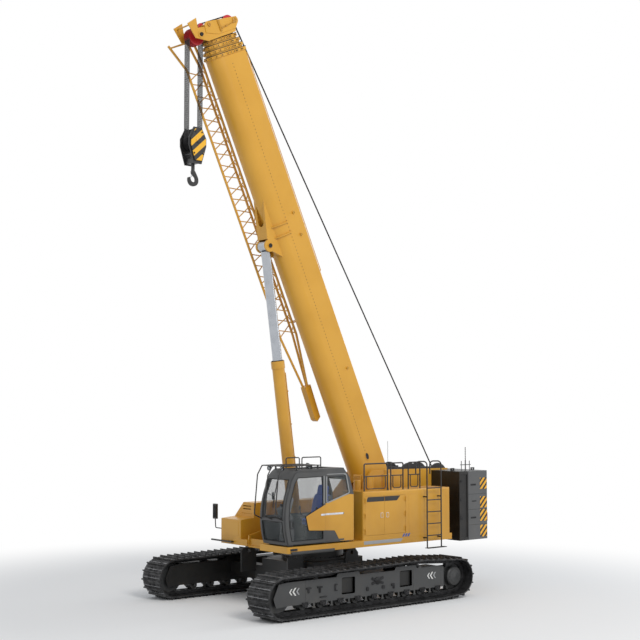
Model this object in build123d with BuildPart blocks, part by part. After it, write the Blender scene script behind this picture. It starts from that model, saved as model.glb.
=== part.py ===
"""Telescopic crawler crane, parked with its boom raised and its hook block hanging.

Millimetres. +X is the way the crane travels, +Y its left side, +Z up.
The origin lies on the ground midway between the tracks and midway along them.
Boom pieces are drawn along +X from the boom foot pin and then set to the parked angle.
"""
from build123d import *
from math import atan2, cos, degrees, hypot, radians, sin
import os

os.makedirs("parts", exist_ok=True)

# ---------------------------------------------------------------- driving dimensions
running_gap = 0.3          # between a turning piece and its seat
slide_gap = 6.0            # between pieces that slide past each other

# tracks
gauge = 4230.0             # between the centre lines of the two tracks
shoe_width = 760.0
shoe_pitch = 200.0
shoe_thickness = 30.0
grouser_height = 45.0
link_height = 95.0
rail_offset = 85.0         # chain rail from the track's centre line
rail_width = 46.0
idler_x = 2690.0
idler_radius = 455.0       # over the shoe plates
carrier_x = -1520.0
front_carrier_x = 1620.0
carrier_top = 1015.0
carrier_radius = 95.0
roller_shaft = 35.0
shaft_radius = 70.0        # idler's
roller_radius = 100.0
last_roller_x = -2100.0
first_roller_x = 2000.0
roller_count = 9
sprocket_x = -2715.0
sprocket_z = 515.0
sprocket_radius = 430.0    # over the shoe plates
tooth_total = 11
tooth_size = 55.0
drive_radius = 235.0       # final drive's round housing
drive_reach = 180.0        # outward from the track's centre line
drive_chamfer = 25.0

# car body and its two cross tubes
slew_x = -160.0
beam_spacing = 1790.0
beam_width = 360.0
beam_height = 330.0
beam_z = 600.0
beam_wall = 16.0
beam_end = 600.0           # inner end of a cross beam from the machine's centre line
carbody_length = 1500.0
carbody_width = 1760.0
carbody_bottom = 420.0
carbody_top = 960.0
lashing_plates = [(1370.0, 920.0, 640.0, 1140.0), (-400.0, -800.0, 640.0, -600.0)]
lashing_top = 1215.0
lashing_z = 1125.0
lashing_hole = 45.0
lashing_thickness = 40.0
ring_radius = 720.0
ring_top = 1200.0

# frames of the tracks
frame_width = 400.0
frame_plate = 14.0
frame_bottom = 310.0
frame_top = 815.0
frame_front = 2800.0
frame_rear = -2310.0
hump_length = 760.0        # raised part of the frame over a cross beam
hump_height = 110.0
hump_rise = 75.0
pocket_width = 400.0
pocket_height = 370.0
pocket_depth = 60.0

guard_drop = 95.0          # roller guards below the frame
guard_stem = 46.0
guard_foot = 92.0
guard_foot_height = 26.0

# superstructure
deck_bottom = 1280.0
deck_top = 1450.0
half_width = 1500.0
cheek_y = 400.0            # inner face of the boom foot cheeks
cheek_thickness = 40.0
cheek_top = 3040.0
cheek_rear = -4400.0

# boom
boom_angle = 65.6
pivot_x = -2140.0
pivot_z = 2700.0
pivot_pin_radius = 70.0
boom_half_width = 300.0
boom_top = 350.0           # above the line of the foot pin
boom_belly = 300.0         # centre of the round belly below that line
boom_wall = 10.0
boom_step = 26.0           # each section is this much smaller all round
boom_tail = -300.0
base_front = 11310.0
collar_pitch = 120.0
collar_length = 70.0
collar_stand = 22.0
pad_heights = (60.0, 220.0)  # adjusting blocks of the wear pads, over the foot pin's line
pad_stand = 16.0
lug_stand = 55.0
gusset_length = 1160.0     # from the rod eye up to where the ears run out on the belly
gusset_sheet = 14.0
gusset_notch = 115.0       # radius of the cut-out in the gusset's face
# round bosses on the sides. columns: along the boom, height over the foot pin's line
side_bosses = ((7214.0, 108.0), (6648.0, 120.0), (3100.0, 150.0))
boss_radius = 32.0
boss_stand = 34.0
section_tail = 450.0
tail_pitch = 60.0
section_count = 4          # telescoping sections in the base section
top_radius = 30.0

# luffing cylinder
foot_x = 437.0
foot_z = 1900.0
eye_s = 6696.0             # along the boom from the foot pin
eye_n = -798.0             # below the line of the foot pin
barrel_radius = 150.0
rod_radius = 117.5
eye_radius = 150.0
eye_pin_radius = 55.0
barrel_length = 3850.0     # foot eye to gland
eye_half_width = 140.0
ear_radius = 150.0
ear_width = 45.0
rod_length = 3650.0        # to the middle of its eye
belly_bands = (6790.0, 7060.0)  # stiffening bands round the belly at the ears
band_height = 55.0
band_thickness = 25.0

# boom head and hook block
sheave_s = 11863.0
sheave_n = -768.0
sheave_radius = 210.0
sheave_groove = 170.0
sheave_width = 44.0
sheave_count = 5
head_half_width = 300.0
head_plate = 22.0
rim_floor = 14.0           # a sheave's outer web over its groove
guide_pin = 30.0
axle_radius = 45.0
hook_drop = 2150.0         # hook block's top below the head sheave axle
block_height = 850.0
block_half = 190.0
block_plate = 22.0
rope_radius = 8.0
rope_line = sheave_groove + 13  # rope's middle from a sheave's middle
shank_radius = 42.0
hook_reach = 350.0         # bowl's middle below the block
hook_bar = 45.0

# lattice jib
chord_radius = 30.0
lace_radius = 13.0
lace_offset = 45.0         # half the space between the ends of two lacing bars on a chord
jib_tip = 2900.0           # places along the boom
jib_full = 4300.0
jib_base = 11200.0
jib_foot = 11870.0
jib_bays = 12
jib_brackets = (4590.0, 6315.0, 10340.0)

# cab
cab_inner_y = 560.0
cab_outer_y = 1455.0
cab_wall = 40.0
cab_floor = 1480.0
cab_roof = 3190.0
glass_thickness = 8.0
door_thickness = 38.0
door_rear_x = 720.0

# engine housing
hood_front = -450.0
hood_rear = -3390.0
hood_inner_y = 760.0
hood_top = 2600.0
hood_wall = 25.0
hinge_radius = 12.0
hinge_stand = 18.0         # hinge line of an engine door outside its face
hinge_leaf = 5.0
hinge_length = 60.0
hinge_heights = (1660.0, 2020.0, 2380.0)


def side_plane(y):
    """Upright plane along the machine at width y, drawn in X and Z."""
    return Plane(origin=(0, y, 0), x_dir=(1, 0, 0), z_dir=(0, -1, 0))


def cross_plane(x):
    """Upright plane across the machine at length x, drawn in Y and Z."""
    return Plane(origin=(x, 0, 0), x_dir=(0, 1, 0), z_dir=(1, 0, 0))


def bent_tube(points, radius, bend):
    """Round tube along points, bent at each corner."""
    with BuildPart() as piece:
        with BuildLine() as path:
            FilletPolyline(*points, radius=bend)
        with BuildSketch(Plane(origin=path.line @ 0, z_dir=path.line % 0)):
            Circle(radius)
        sweep()
    return piece.part


def tube_set(paths, radius, bend):
    """Bent tubes, one for each list of points."""
    tubes = [bent_tube(points, radius, bend) for points in paths]
    with BuildPart() as pieces:
        add(tubes)
    return pieces.part


# boom pieces stand along +X from the foot pin until this places them
boom_place = Location((pivot_x, 0, pivot_z), (0, -boom_angle, 0))

# ---------------------------------------------------------------- tracks
wrap = shoe_thickness + link_height
idler_z = idler_radius + grouser_height
roller_wrap = roller_radius + wrap
roller_z = roller_wrap + grouser_height
carrier_wrap = carrier_radius + wrap
carrier_z = carrier_top - carrier_wrap
# columns: x, z, radius over the shoe plates
track_wheels = [
    (idler_x, idler_z, idler_radius),
    (carrier_x, carrier_z, carrier_wrap),
    (sprocket_x, sprocket_z, sprocket_radius),
    (last_roller_x, roller_z, roller_wrap),
]
# one shoe. columns: place along the shoe, height over its plate
shoe_outline = [(0.00, -10), (0.05, 0), (0.30, 0), (0.34, grouser_height),
                (0.44, grouser_height), (0.50, 0), (0.95, 0)]


def track_loop(inset):
    """Belt round the idler, carrier, sprocket and last roller, inset from the shoe plates."""
    with BuildSketch() as belt:
        for x, z, radius in track_wheels:
            with Locations((x, z)):
                Circle(radius - inset)
        make_hull()
    return belt.sketch


plates_loop = track_loop(0).face().outer_wire()
shoe_total = round(plates_loop.length / shoe_pitch)
shoe_points = []
for shoe in range(shoe_total):
    for along, height in shoe_outline:
        place = (shoe + along) / shoe_total
        at = plates_loop.position_at(place)
        way = plates_loop.tangent_at(place)
        shoe_points.append(at + Vector(way.Y, -way.X) * height)

roller_places = [first_roller_x + (last_roller_x - first_roller_x) * i / (roller_count - 1)
                 for i in range(roller_count)]
guard_places = [(first + second) / 2 for first, second in zip(roller_places, roller_places[1:])]
carrier_rise = (carrier_top - (idler_z + idler_radius)) / (idler_x - carrier_x)
front_carrier_z = idler_z + idler_radius + carrier_rise * (idler_x - front_carrier_x) - carrier_wrap
beam_places = [slew_x + beam_spacing / 2, slew_x - beam_spacing / 2]
# columns: x, z, radius
carrier_table = [(front_carrier_x, front_carrier_z, carrier_radius),
                 (carrier_x, carrier_z, carrier_radius)]
roller_table = [(x, roller_z, roller_radius) for x in roller_places] + carrier_table
roller_half = rail_offset + rail_width / 2 + 12
shaft_half = frame_width / 2 - frame_plate - running_gap
box_bottom = roller_z + roller_radius + 10
box_front = idler_x - idler_radius - 40
tooth_root = sprocket_radius - wrap - running_gap

for side, sign in (("left", 1), ("right", -1)):
    mid_y = sign * gauge / 2
    track_plane = side_plane(mid_y)

    with BuildPart() as track:
        with BuildSketch(track_plane):
            with BuildLine():
                Polyline(*[(p.X, p.Y) for p in shoe_points], close=True)
            make_face()
            add(track_loop(shoe_thickness), mode=Mode.SUBTRACT)
        extrude(amount=shoe_width / 2, both=True)
        for rail in (rail_offset, -rail_offset):
            with BuildSketch(side_plane(mid_y + rail)):
                add(track_loop(shoe_thickness - 5))
                add(track_loop(wrap), mode=Mode.SUBTRACT)
            extrude(amount=rail_width / 2, both=True)
    track.part.label = f"track_{side}"
    export_step(track.part, f"parts/track_{side}.step")

    with BuildPart() as idler:
        with BuildSketch(track_plane):
            with Locations((idler_x, idler_z)):
                Circle(idler_radius - wrap - running_gap)
        extrude(amount=rail_offset + rail_width / 2, both=True)
        with BuildSketch(track_plane):
            with Locations((idler_x, idler_z)):
                Circle(idler_radius - wrap + link_height / 2)
        extrude(amount=rail_offset - rail_width / 2 - slide_gap, both=True)
        with BuildSketch(track_plane):
            with Locations((idler_x, idler_z)):
                Circle(shaft_radius)
        extrude(amount=shaft_half, both=True)
    idler.part.label = f"idler_{side}"
    export_step(idler.part, f"parts/idler_{side}.step")

    with BuildPart() as sprocket:
        with BuildSketch(track_plane):
            with Locations((sprocket_x, sprocket_z)):
                Circle(tooth_root)
                with PolarLocations(tooth_root, tooth_total):
                    RegularPolygon(tooth_size, 6)
        extrude(amount=rail_offset - rail_width / 2 - 2 * slide_gap, both=True)
        with BuildSketch(side_plane(mid_y - sign * shaft_half)):
            with Locations((sprocket_x, sprocket_z)):
                Circle(drive_radius)
        extrude(amount=shaft_half + drive_reach, dir=(0, sign, 0))
        drive_cover = sprocket.faces().sort_by(Axis.Y)[-1 if sign > 0 else 0]
        chamfer(drive_cover.edges(), drive_chamfer)
    sprocket.part.label = f"sprocket_{side}"
    export_step(sprocket.part, f"parts/sprocket_{side}.step")

    with BuildPart() as rollers:
        for wheel_x, wheel_z, wheel_radius in roller_table:
            with BuildSketch(track_plane):
                with Locations((wheel_x, wheel_z)):
                    Circle(wheel_radius - running_gap)
            extrude(amount=roller_half, both=True)
            with BuildSketch(track_plane):
                with Locations((wheel_x, wheel_z)):
                    Circle(roller_shaft)
            extrude(amount=shaft_half, both=True)
    rollers.part.label = f"track_rollers_{side}"
    export_step(rollers.part, f"parts/track_rollers_{side}.step")

    # frame: two side plates with the box between them, and the two cross beams
    inner_face = mid_y - sign * frame_width / 2
    with BuildPart() as frame:
        with BuildSketch(track_plane):
            with BuildLine():
                Polyline((frame_rear, frame_bottom), (frame_front - 400, frame_bottom),
                         (frame_front, frame_bottom - 20), (frame_front + 70, 490),
                         (frame_front - 70, frame_top - 25), (frame_front - 300, frame_top),
                         (frame_rear + 200, frame_top), (frame_rear, frame_top - 35), close=True)
            make_face()
            for beam_x in beam_places:
                with Locations((beam_x, frame_top + hump_rise - hump_height / 2)):
                    Trapezoid(hump_length, hump_height, 60)
            for wheel_x, wheel_z, wheel_radius in carrier_table:
                with Locations((wheel_x, wheel_z)):
                    Circle(roller_shaft + 25)
            # T-shaped guards between the rollers
            for guard_x in guard_places:
                with Locations((guard_x, frame_bottom - guard_drop / 2)):
                    Rectangle(guard_stem, guard_drop + 20)
                with Locations((guard_x, frame_bottom - guard_drop)):
                    Rectangle(guard_foot, guard_foot_height)
        extrude(amount=frame_width / 2, both=True)
        # open between the side plates round the idler and the rollers
        with BuildSketch(track_plane):
            with Locations((idler_x, idler_z)):
                Circle(idler_radius)
            with Locations(((frame_rear + frame_front) / 2, box_bottom - 200)):
                Rectangle(frame_front - frame_rear + 400, 400)
            with Locations(((frame_rear + frame_front) / 2, frame_top + 100)):
                Rectangle(frame_front - frame_rear, 200)
            for wheel_x, wheel_z, wheel_radius in carrier_table:
                with Locations((wheel_x, wheel_z + 50)):
                    Rectangle(2 * wheel_radius + 40, 2 * wheel_radius + 100)
        extrude(amount=frame_width / 2 - frame_plate, both=True, mode=Mode.SUBTRACT)
        with BuildSketch(track_plane):
            with Locations(((frame_rear + box_front) / 2, (box_bottom + frame_top) / 2)):
                Rectangle(box_front - frame_rear - 2 * frame_plate, frame_top - box_bottom - 2 * frame_plate)
        extrude(amount=frame_width / 2 - frame_plate, both=True, mode=Mode.SUBTRACT)
        # inner side plate reaches back to carry the final drive
        with BuildSketch(side_plane(inner_face)):
            with Locations((sprocket_x, sprocket_z)):
                Circle(drive_radius)
            with Locations(((sprocket_x + frame_rear) / 2, sprocket_z)):
                Rectangle(frame_rear - sprocket_x + 40, 2 * drive_radius)
        extrude(amount=frame_plate - running_gap, dir=(0, sign, 0))
        for beam_x in beam_places:
            # pocket in the outer plate, and the beam's seat behind it
            with BuildSketch(side_plane(mid_y + sign * frame_width / 2)):
                with Locations((beam_x, beam_z)):
                    RectangleRounded(pocket_width, pocket_height, 30)
            extrude(amount=frame_plate, dir=(0, -sign, 0), mode=Mode.SUBTRACT)
            with BuildSketch(side_plane(mid_y + sign * (frame_width / 2 - pocket_depth))):
                with Locations((beam_x, beam_z)):
                    Rectangle(beam_width - 2 * running_gap, beam_height - 2 * running_gap)
            extrude(amount=abs(mid_y) + frame_width / 2 - pocket_depth - beam_end, dir=(0, -sign, 0))
        for beam_x in beam_places:
            with BuildSketch(side_plane(sign * beam_end)):
                with Locations((beam_x, beam_z)):
                    Rectangle(beam_width - 2 * beam_wall, beam_height - 2 * beam_wall)
            extrude(amount=abs(inner_face) - beam_end, dir=(0, sign, 0), mode=Mode.SUBTRACT)
    frame.part.label = f"track_frame_{side}"
    export_step(frame.part, f"parts/track_frame_{side}.step")

# ---------------------------------------------------------------- car body
with BuildPart() as carbody:
    with BuildSketch(Plane.XY.offset(carbody_bottom)):
        with Locations((slew_x, 0)):
            Rectangle(carbody_length, carbody_width)
            Rectangle(beam_spacing + beam_width + 2 * beam_wall, carbody_width * 0.72)
    extrude(amount=carbody_top - carbody_bottom)
    edges_up = carbody.edges().filter_by(Axis.Z)
    chamfer(edges_up.group_by(SortBy.LENGTH)[-1].group_by(Axis.X)[0], 60)
    with BuildSketch(Plane.XY.offset(carbody_top)):
        with Locations((slew_x, 0)):
            Circle(ring_radius + 60)
    extrude(amount=60)
    for beam_x in beam_places:
        with BuildSketch(side_plane(0)):
            with Locations((beam_x, beam_z)):
                Rectangle(beam_width + 2 * beam_wall, beam_height + 2 * beam_wall)
        extrude(amount=carbody_width / 2 + 40, both=True)
    for beam_x in beam_places:
        with BuildSketch(side_plane(0)):
            with Locations((beam_x, beam_z)):
                Rectangle(beam_width, beam_height)
        extrude(amount=carbody_width / 2 + 40, both=True, mode=Mode.SUBTRACT)
    # lashing plates. columns: front x, rear x, bottom, hole's x
    for front, rear, low, hole_x in lashing_plates:
        for side in (1, -1):
            with BuildSketch(side_plane(side * carbody_width / 2)):
                with BuildLine():
                    Polyline((rear, low), (rear, 1110), (rear + 90, lashing_top), (front - 90, lashing_top),
                             (front, 1110), (front, low), close=True)
                make_face()
                with Locations((hole_x, lashing_z)):
                    Circle(lashing_hole, mode=Mode.SUBTRACT)
            extrude(amount=lashing_thickness, dir=(0, side, 0))
carbody.part.label = "carbody"
export_step(carbody.part, "parts/carbody.step")

with BuildPart() as slew_ring:
    with BuildSketch(Plane.XY.offset(carbody_top + 60)):
        with Locations((slew_x, 0)):
            Circle(ring_radius)
            Circle(ring_radius - 120, mode=Mode.SUBTRACT)
    extrude(amount=ring_top - carbody_top - 60)
slew_ring.part.label = "slew_ring"
export_step(slew_ring.part, "parts/slew_ring.step")

# ---------------------------------------------------------------- superstructure frame
foot_ear_y = eye_half_width + 10
foot_ear_width = 45.0
cheek_mid = cheek_y + cheek_thickness / 2

with BuildPart() as main_frame:
    with BuildSketch(Plane.XY.offset(deck_bottom)):
        with Locations(((cheek_rear + 1500) / 2, 0)):
            Rectangle(1500 - cheek_rear, 2 * (cheek_y + cheek_thickness))
    extrude(amount=40)
    with BuildSketch(Plane.XY.offset(deck_bottom)):
        with Locations((slew_x, 0)):
            Circle(ring_radius + 20)
    extrude(amount=20 - running_gap)
    with BuildSketch(Plane.XY.offset(ring_top + running_gap)):
        with Locations((slew_x, 0)):
            Circle(ring_radius)
            Circle(ring_radius - 120, mode=Mode.SUBTRACT)
    extrude(amount=deck_bottom - ring_top)
    for cheek in (1, -1):
        with BuildSketch(side_plane(cheek * cheek_mid)):
            with BuildLine():
                Polyline((cheek_rear, deck_bottom), (1500, deck_bottom), (1500, 1560),
                         (900, 1700), (-450, 1740), (-1700, cheek_top), (cheek_rear, cheek_top - 30),
                         (cheek_rear, 2400), (cheek_rear + 250, 1750), close=True)
            make_face()
        extrude(amount=cheek_thickness / 2, both=True)
    # bulkheads that tie the cheeks together, columns: x, top
    for wall_x, wall_top in ((1450, 1480), (-700, 1700), (cheek_rear + 280, 2300)):
        with BuildSketch(Plane.XY.offset(deck_bottom)):
            with Locations((wall_x, 0)):
                Rectangle(30, 2 * cheek_y)
        extrude(amount=wall_top - deck_bottom)
    # ears of the luffing cylinder's foot
    for ear in (1, -1):
        with BuildSketch(side_plane(ear * (foot_ear_y + foot_ear_width / 2))):
            with BuildLine():
                Polyline((foot_x - 330, deck_bottom), (foot_x + 330, deck_bottom),
                         (foot_x + 130, foot_z), (foot_x - 130, foot_z), close=True)
            make_face()
            with Locations((foot_x, foot_z)):
                Circle(130)
        extrude(amount=foot_ear_width / 2, both=True)
        with BuildSketch(side_plane(ear * (foot_ear_y + foot_ear_width))):
            with Locations((foot_x, foot_z)):
                Circle(eye_pin_radius + 25)
        extrude(amount=20, dir=(0, ear, 0))
    # boom foot pin and its retaining caps
    with BuildSketch(side_plane(0)):
        with Locations((pivot_x, pivot_z)):
            Circle(pivot_pin_radius)
    extrude(amount=cheek_y + cheek_thickness, both=True)
    for cheek in (1, -1):
        with BuildSketch(side_plane(cheek * (cheek_y + cheek_thickness))):
            with Locations((pivot_x, pivot_z)):
                Circle(pivot_pin_radius + 40)
        extrude(amount=25, dir=(0, cheek, 0))
main_frame.part.label = "superstructure_frame"
export_step(main_frame.part, "parts/superstructure_frame.step")

with BuildPart() as side_decks:
    # left deck under cab and engine, right deck under the tanks
    for front, rear, inner, outer in ((1820, hood_rear - 60, cheek_y + cheek_thickness, half_width),
                                      (1530, hood_rear - 60, -cheek_y - cheek_thickness, -half_width)):
        with BuildSketch(Plane.XY.offset(deck_bottom + 20)):
            with Locations(((front + rear) / 2, (inner + outer) / 2)):
                Rectangle(front - rear, abs(outer - inner) - 2)
        extrude(amount=deck_top - deck_bottom - 20)
        with BuildSketch(Plane.XY.offset(deck_bottom + 20)):
            with Locations(((front + rear) / 2, (inner + outer) / 2)):
                Rectangle(front - rear - 60, abs(outer - inner) - 62)
        extrude(amount=deck_top - deck_bottom - 45, mode=Mode.SUBTRACT)
    cab_corner = side_decks.edges().filter_by(Axis.Z).group_by(Axis.X)[-1].sort_by(Axis.Y)[-1]
    fillet(cab_corner, 60)
    # step strip under the cab's edge
    with BuildSketch(Plane.XY.offset(deck_bottom - 10)):
        with Locations((1120, half_width - 140)):
            Rectangle(1300, 270)
    extrude(amount=30)
side_decks.part.label = "side_decks"
export_step(side_decks.part, "parts/side_decks.step")

# ---------------------------------------------------------------- cab
with BuildSketch() as cab_outline:
    with BuildLine():
        Line((-190, cab_floor), (1800, cab_floor))
        ThreePointArc((1800, cab_floor), (1905, 2130), (1760, 2780))
        ThreePointArc((1760, 2780), (1660, 3030), (1470, cab_roof - 10))
        Polyline((1470, cab_roof - 10), (130, cab_roof), (-60, 2960), (-190, 2560), (-190, cab_floor))
    make_face()
with BuildSketch() as cab_cavity:
    add(cab_outline.sketch)
    offset(amount=-cab_wall, mode=Mode.REPLACE)
with BuildSketch() as glass_inside:
    add(cab_outline.sketch)
    offset(amount=-cab_wall / 2 - glass_thickness / 2, mode=Mode.REPLACE)
with BuildSketch() as glass_ring:
    add(cab_outline.sketch)
    offset(amount=-cab_wall / 2 + glass_thickness / 2, mode=Mode.REPLACE)
    add(glass_inside.sketch, mode=Mode.SUBTRACT)
cab_mid_y = (cab_inner_y + cab_outer_y) / 2
cab_half = (cab_outer_y - cab_inner_y) / 2
# windows that look forward, up and back. columns: x low, x high, z low, z high, y inset
front_windows = [(1400, 2100, 2090, 2960, 75), (1400, 2100, 1560, 2010, 75),
                 (300, 1400, 3100, 3300, 170), (-300, 0, 2300, 2900, 130)]
door_low = cab_floor + 25
door_high = cab_roof - 75


with BuildPart() as window_blocks:
    for x_low, x_high, z_low, z_high, inset in front_windows:
        with BuildSketch(side_plane(cab_mid_y)):
            with Locations(((x_low + x_high) / 2, (z_low + z_high) / 2)):
                Rectangle(x_high - x_low, z_high - z_low)
        extrude(amount=cab_half - inset, both=True)
with BuildSketch() as door_opening:
    add(cab_cavity.sketch)
    with Locations((door_rear_x + 20 + 600, (door_low + door_high) / 2)):
        Rectangle(1200, door_high - door_low - 40, mode=Mode.INTERSECT)
with BuildSketch() as quarter_window:
    with BuildLine():
        Polyline((60, 3030), (640, 3030), (640, 2400), (-40, 2600), close=True)
    make_face()
    fillet(quarter_window.vertices(), 40)
with BuildSketch() as right_window:
    with BuildLine():
        Polyline((60, 3030), (1560, 3000), (1730, 2600), (1770, 2100), (-40, 2100), close=True)
    make_face()
    fillet(right_window.vertices(), 40)

with BuildPart() as cab_shell:
    with BuildSketch(side_plane(cab_mid_y)):
        add(cab_outline.sketch)
    extrude(amount=cab_half, both=True)
    with BuildSketch(side_plane(cab_mid_y)):
        add(cab_cavity.sketch)
    extrude(amount=cab_half - cab_wall, both=True, mode=Mode.SUBTRACT)
    add(window_blocks.part, mode=Mode.SUBTRACT)
    with BuildSketch(side_plane(cab_outer_y + 5)):
        add(door_opening.sketch)
        add(quarter_window.sketch)
    extrude(amount=cab_wall + 10, mode=Mode.SUBTRACT)
    with BuildSketch(side_plane(cab_inner_y + cab_wall + 5)):
        add(right_window.sketch)
    extrude(amount=cab_wall + 10, mode=Mode.SUBTRACT)
    # feet on the deck
    with BuildSketch(Plane.XY.offset(deck_top)):
        with Locations((800, cab_mid_y)):
            with GridLocations(1700, 2 * cab_half - 200, 2, 2):
                Circle(60)
    extrude(amount=cab_floor - deck_top)
    # runners of the sliding door. columns: front x, rear x, z
    for front, rear, rail_z in ((1560, 120, 3020), (880, 120, 2130), (1780, 120, cab_floor + 45)):
        with BuildSketch(side_plane(cab_outer_y)):
            with Locations(((front + rear) / 2, rail_z)):
                Rectangle(front - rear, 40)
        extrude(amount=slide_gap - running_gap, dir=(0, 1, 0))
cab_shell.part.label = "cab_shell"
export_step(cab_shell.part, "parts/cab_shell.step")

with BuildPart() as cab_glass:
    with BuildSketch(side_plane(cab_mid_y)):
        add(glass_ring.sketch)
    extrude(amount=cab_half, both=True)
    add(window_blocks.part, mode=Mode.INTERSECT)
    with BuildSketch(side_plane(cab_outer_y - cab_wall / 2 + glass_thickness / 2)):
        add(quarter_window.sketch)
    extrude(amount=glass_thickness)
    with BuildSketch(side_plane(cab_inner_y + cab_wall / 2 + glass_thickness / 2)):
        add(right_window.sketch)
    extrude(amount=glass_thickness)
cab_glass.part.label = "cab_glass"
export_step(cab_glass.part, "parts/cab_glass.step")

door_inner_y = cab_outer_y + slide_gap
with BuildSketch() as door_outline:
    add(cab_outline.sketch)
    offset(amount=-12, mode=Mode.REPLACE)
    with Locations((door_rear_x + 600, (door_low + door_high) / 2)):
        Rectangle(1200, door_high - door_low, mode=Mode.INTERSECT)
with BuildSketch() as door_window:
    with BuildLine():
        l1 = Line((790, 1575), (1720, 1575))
        l2 = ThreePointArc(l1 @ 1, (1800, 2100), (1690, 2700))
        l3 = ThreePointArc(l2 @ 1, (1640, 2870), (1540, 3000))
        Polyline(l3 @ 1, (790, 3010), (790, 2335), (1300, 2110), (1220, 1790), (790, 1770), l1 @ 0)
    make_face()
with BuildPart() as cab_door:
    with BuildSketch(side_plane(door_inner_y + door_thickness)):
        add(door_outline.sketch)
        add(door_window.sketch, mode=Mode.SUBTRACT)
    extrude(amount=door_thickness)
cab_door.part.label = "cab_door"
export_step(cab_door.part, "parts/cab_door.step")
with BuildPart() as door_glass:
    with BuildSketch(side_plane(door_inner_y + door_thickness / 2 + glass_thickness / 2)):
        add(door_window.sketch)
    extrude(amount=glass_thickness)
door_glass.part.label = "cab_door_glass"
export_step(door_glass.part, "parts/cab_door_glass.step")

seat_x = 560.0
seat_y = cab_mid_y + 30
seat_half = 250.0
# columns: seat's outline in x from seat_x and z over the cab's floor, as pairs
seat_outline = [(-170, 420), (-150, 350), (280, 370), (320, 420), (300, 480), (20, 450), (-110, 1050),
                (-190, 1060), (-210, 1010)]
headrest_outline = [(-120, 1040), (-180, 1040), (-200, 1240), (-150, 1270), (-95, 1250)]
console_outline = [(1350, 0), (1600, 0), (1560, 400), (1680, 760), (1570, 800), (1400, 560)]
with BuildPart() as cab_interior:
    with BuildSketch(side_plane(seat_y)):
        with BuildLine():
            Polyline(*[(seat_x + x, cab_floor + z) for x, z in seat_outline], close=True)
        make_face()
    extrude(amount=seat_half, both=True)
    fillet(cab_interior.edges().filter_by(Axis.Y), 25)
    with BuildSketch(side_plane(seat_y)):
        with BuildLine():
            Polyline(*[(seat_x + x, cab_floor + z) for x, z in headrest_outline], close=True)
        make_face()
    extrude(amount=seat_half * 0.5, both=True)
    # pedestal on the cab's floor, and the armrest consoles beside the seat
    with BuildSketch(Plane.XY.offset(cab_floor + cab_wall)):
        with Locations((seat_x + 40, seat_y)):
            Rectangle(380, 400)
    extrude(amount=340)
    for arm in (1, -1):
        with BuildSketch(side_plane(seat_y + arm * (seat_half + 60))):
            with Locations((seat_x + 120, cab_floor + 560)):
                Rectangle(420, 90)
            with Locations((seat_x + 40, cab_floor + 440)):
                Rectangle(160, 200)
        extrude(amount=45, both=True)
        with BuildSketch(side_plane(seat_y + arm * seat_half)):
            with Locations((seat_x + 40, cab_floor + 400)):
                Rectangle(120, 60)
        extrude(amount=60, both=True)
    with BuildSketch(side_plane(cab_mid_y)):
        with BuildLine():
            Polyline(*[(x, cab_floor + cab_wall + z) for x, z in console_outline], close=True)
        make_face()
    extrude(amount=130, both=True)
cab_interior.part.label = "cab_interior"
export_step(cab_interior.part, "parts/cab_interior.step")

# ---------------------------------------------------------------- engine housing
hood_length = hood_front - hood_rear
hood_mid_x = (hood_front + hood_rear) / 2
hood_mid_y = (hood_inner_y + half_width) / 2
hood_half = (half_width - hood_inner_y) / 2
door_low_z = 1560.0
door_high_z = 2480.0
door_split = -1140.0
door_play = 5.0
door_sheet = 19.0
# columns: name, hinge side x, latch side x
engine_doors = [("front", hood_front - 60, door_split + door_play / 2),
                ("rear", -1830.0, door_split - door_play / 2)]

# filter bowl, silencer, air cleaner and its outlet, lowest first. columns: x, y, radius, height
hood_pots = [(-700, 1010, 85, 250), (-1080, 1010, 120, 330), (-1640, 1010, 110, 370), (-1640, 1010, 55, 480)]

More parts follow.
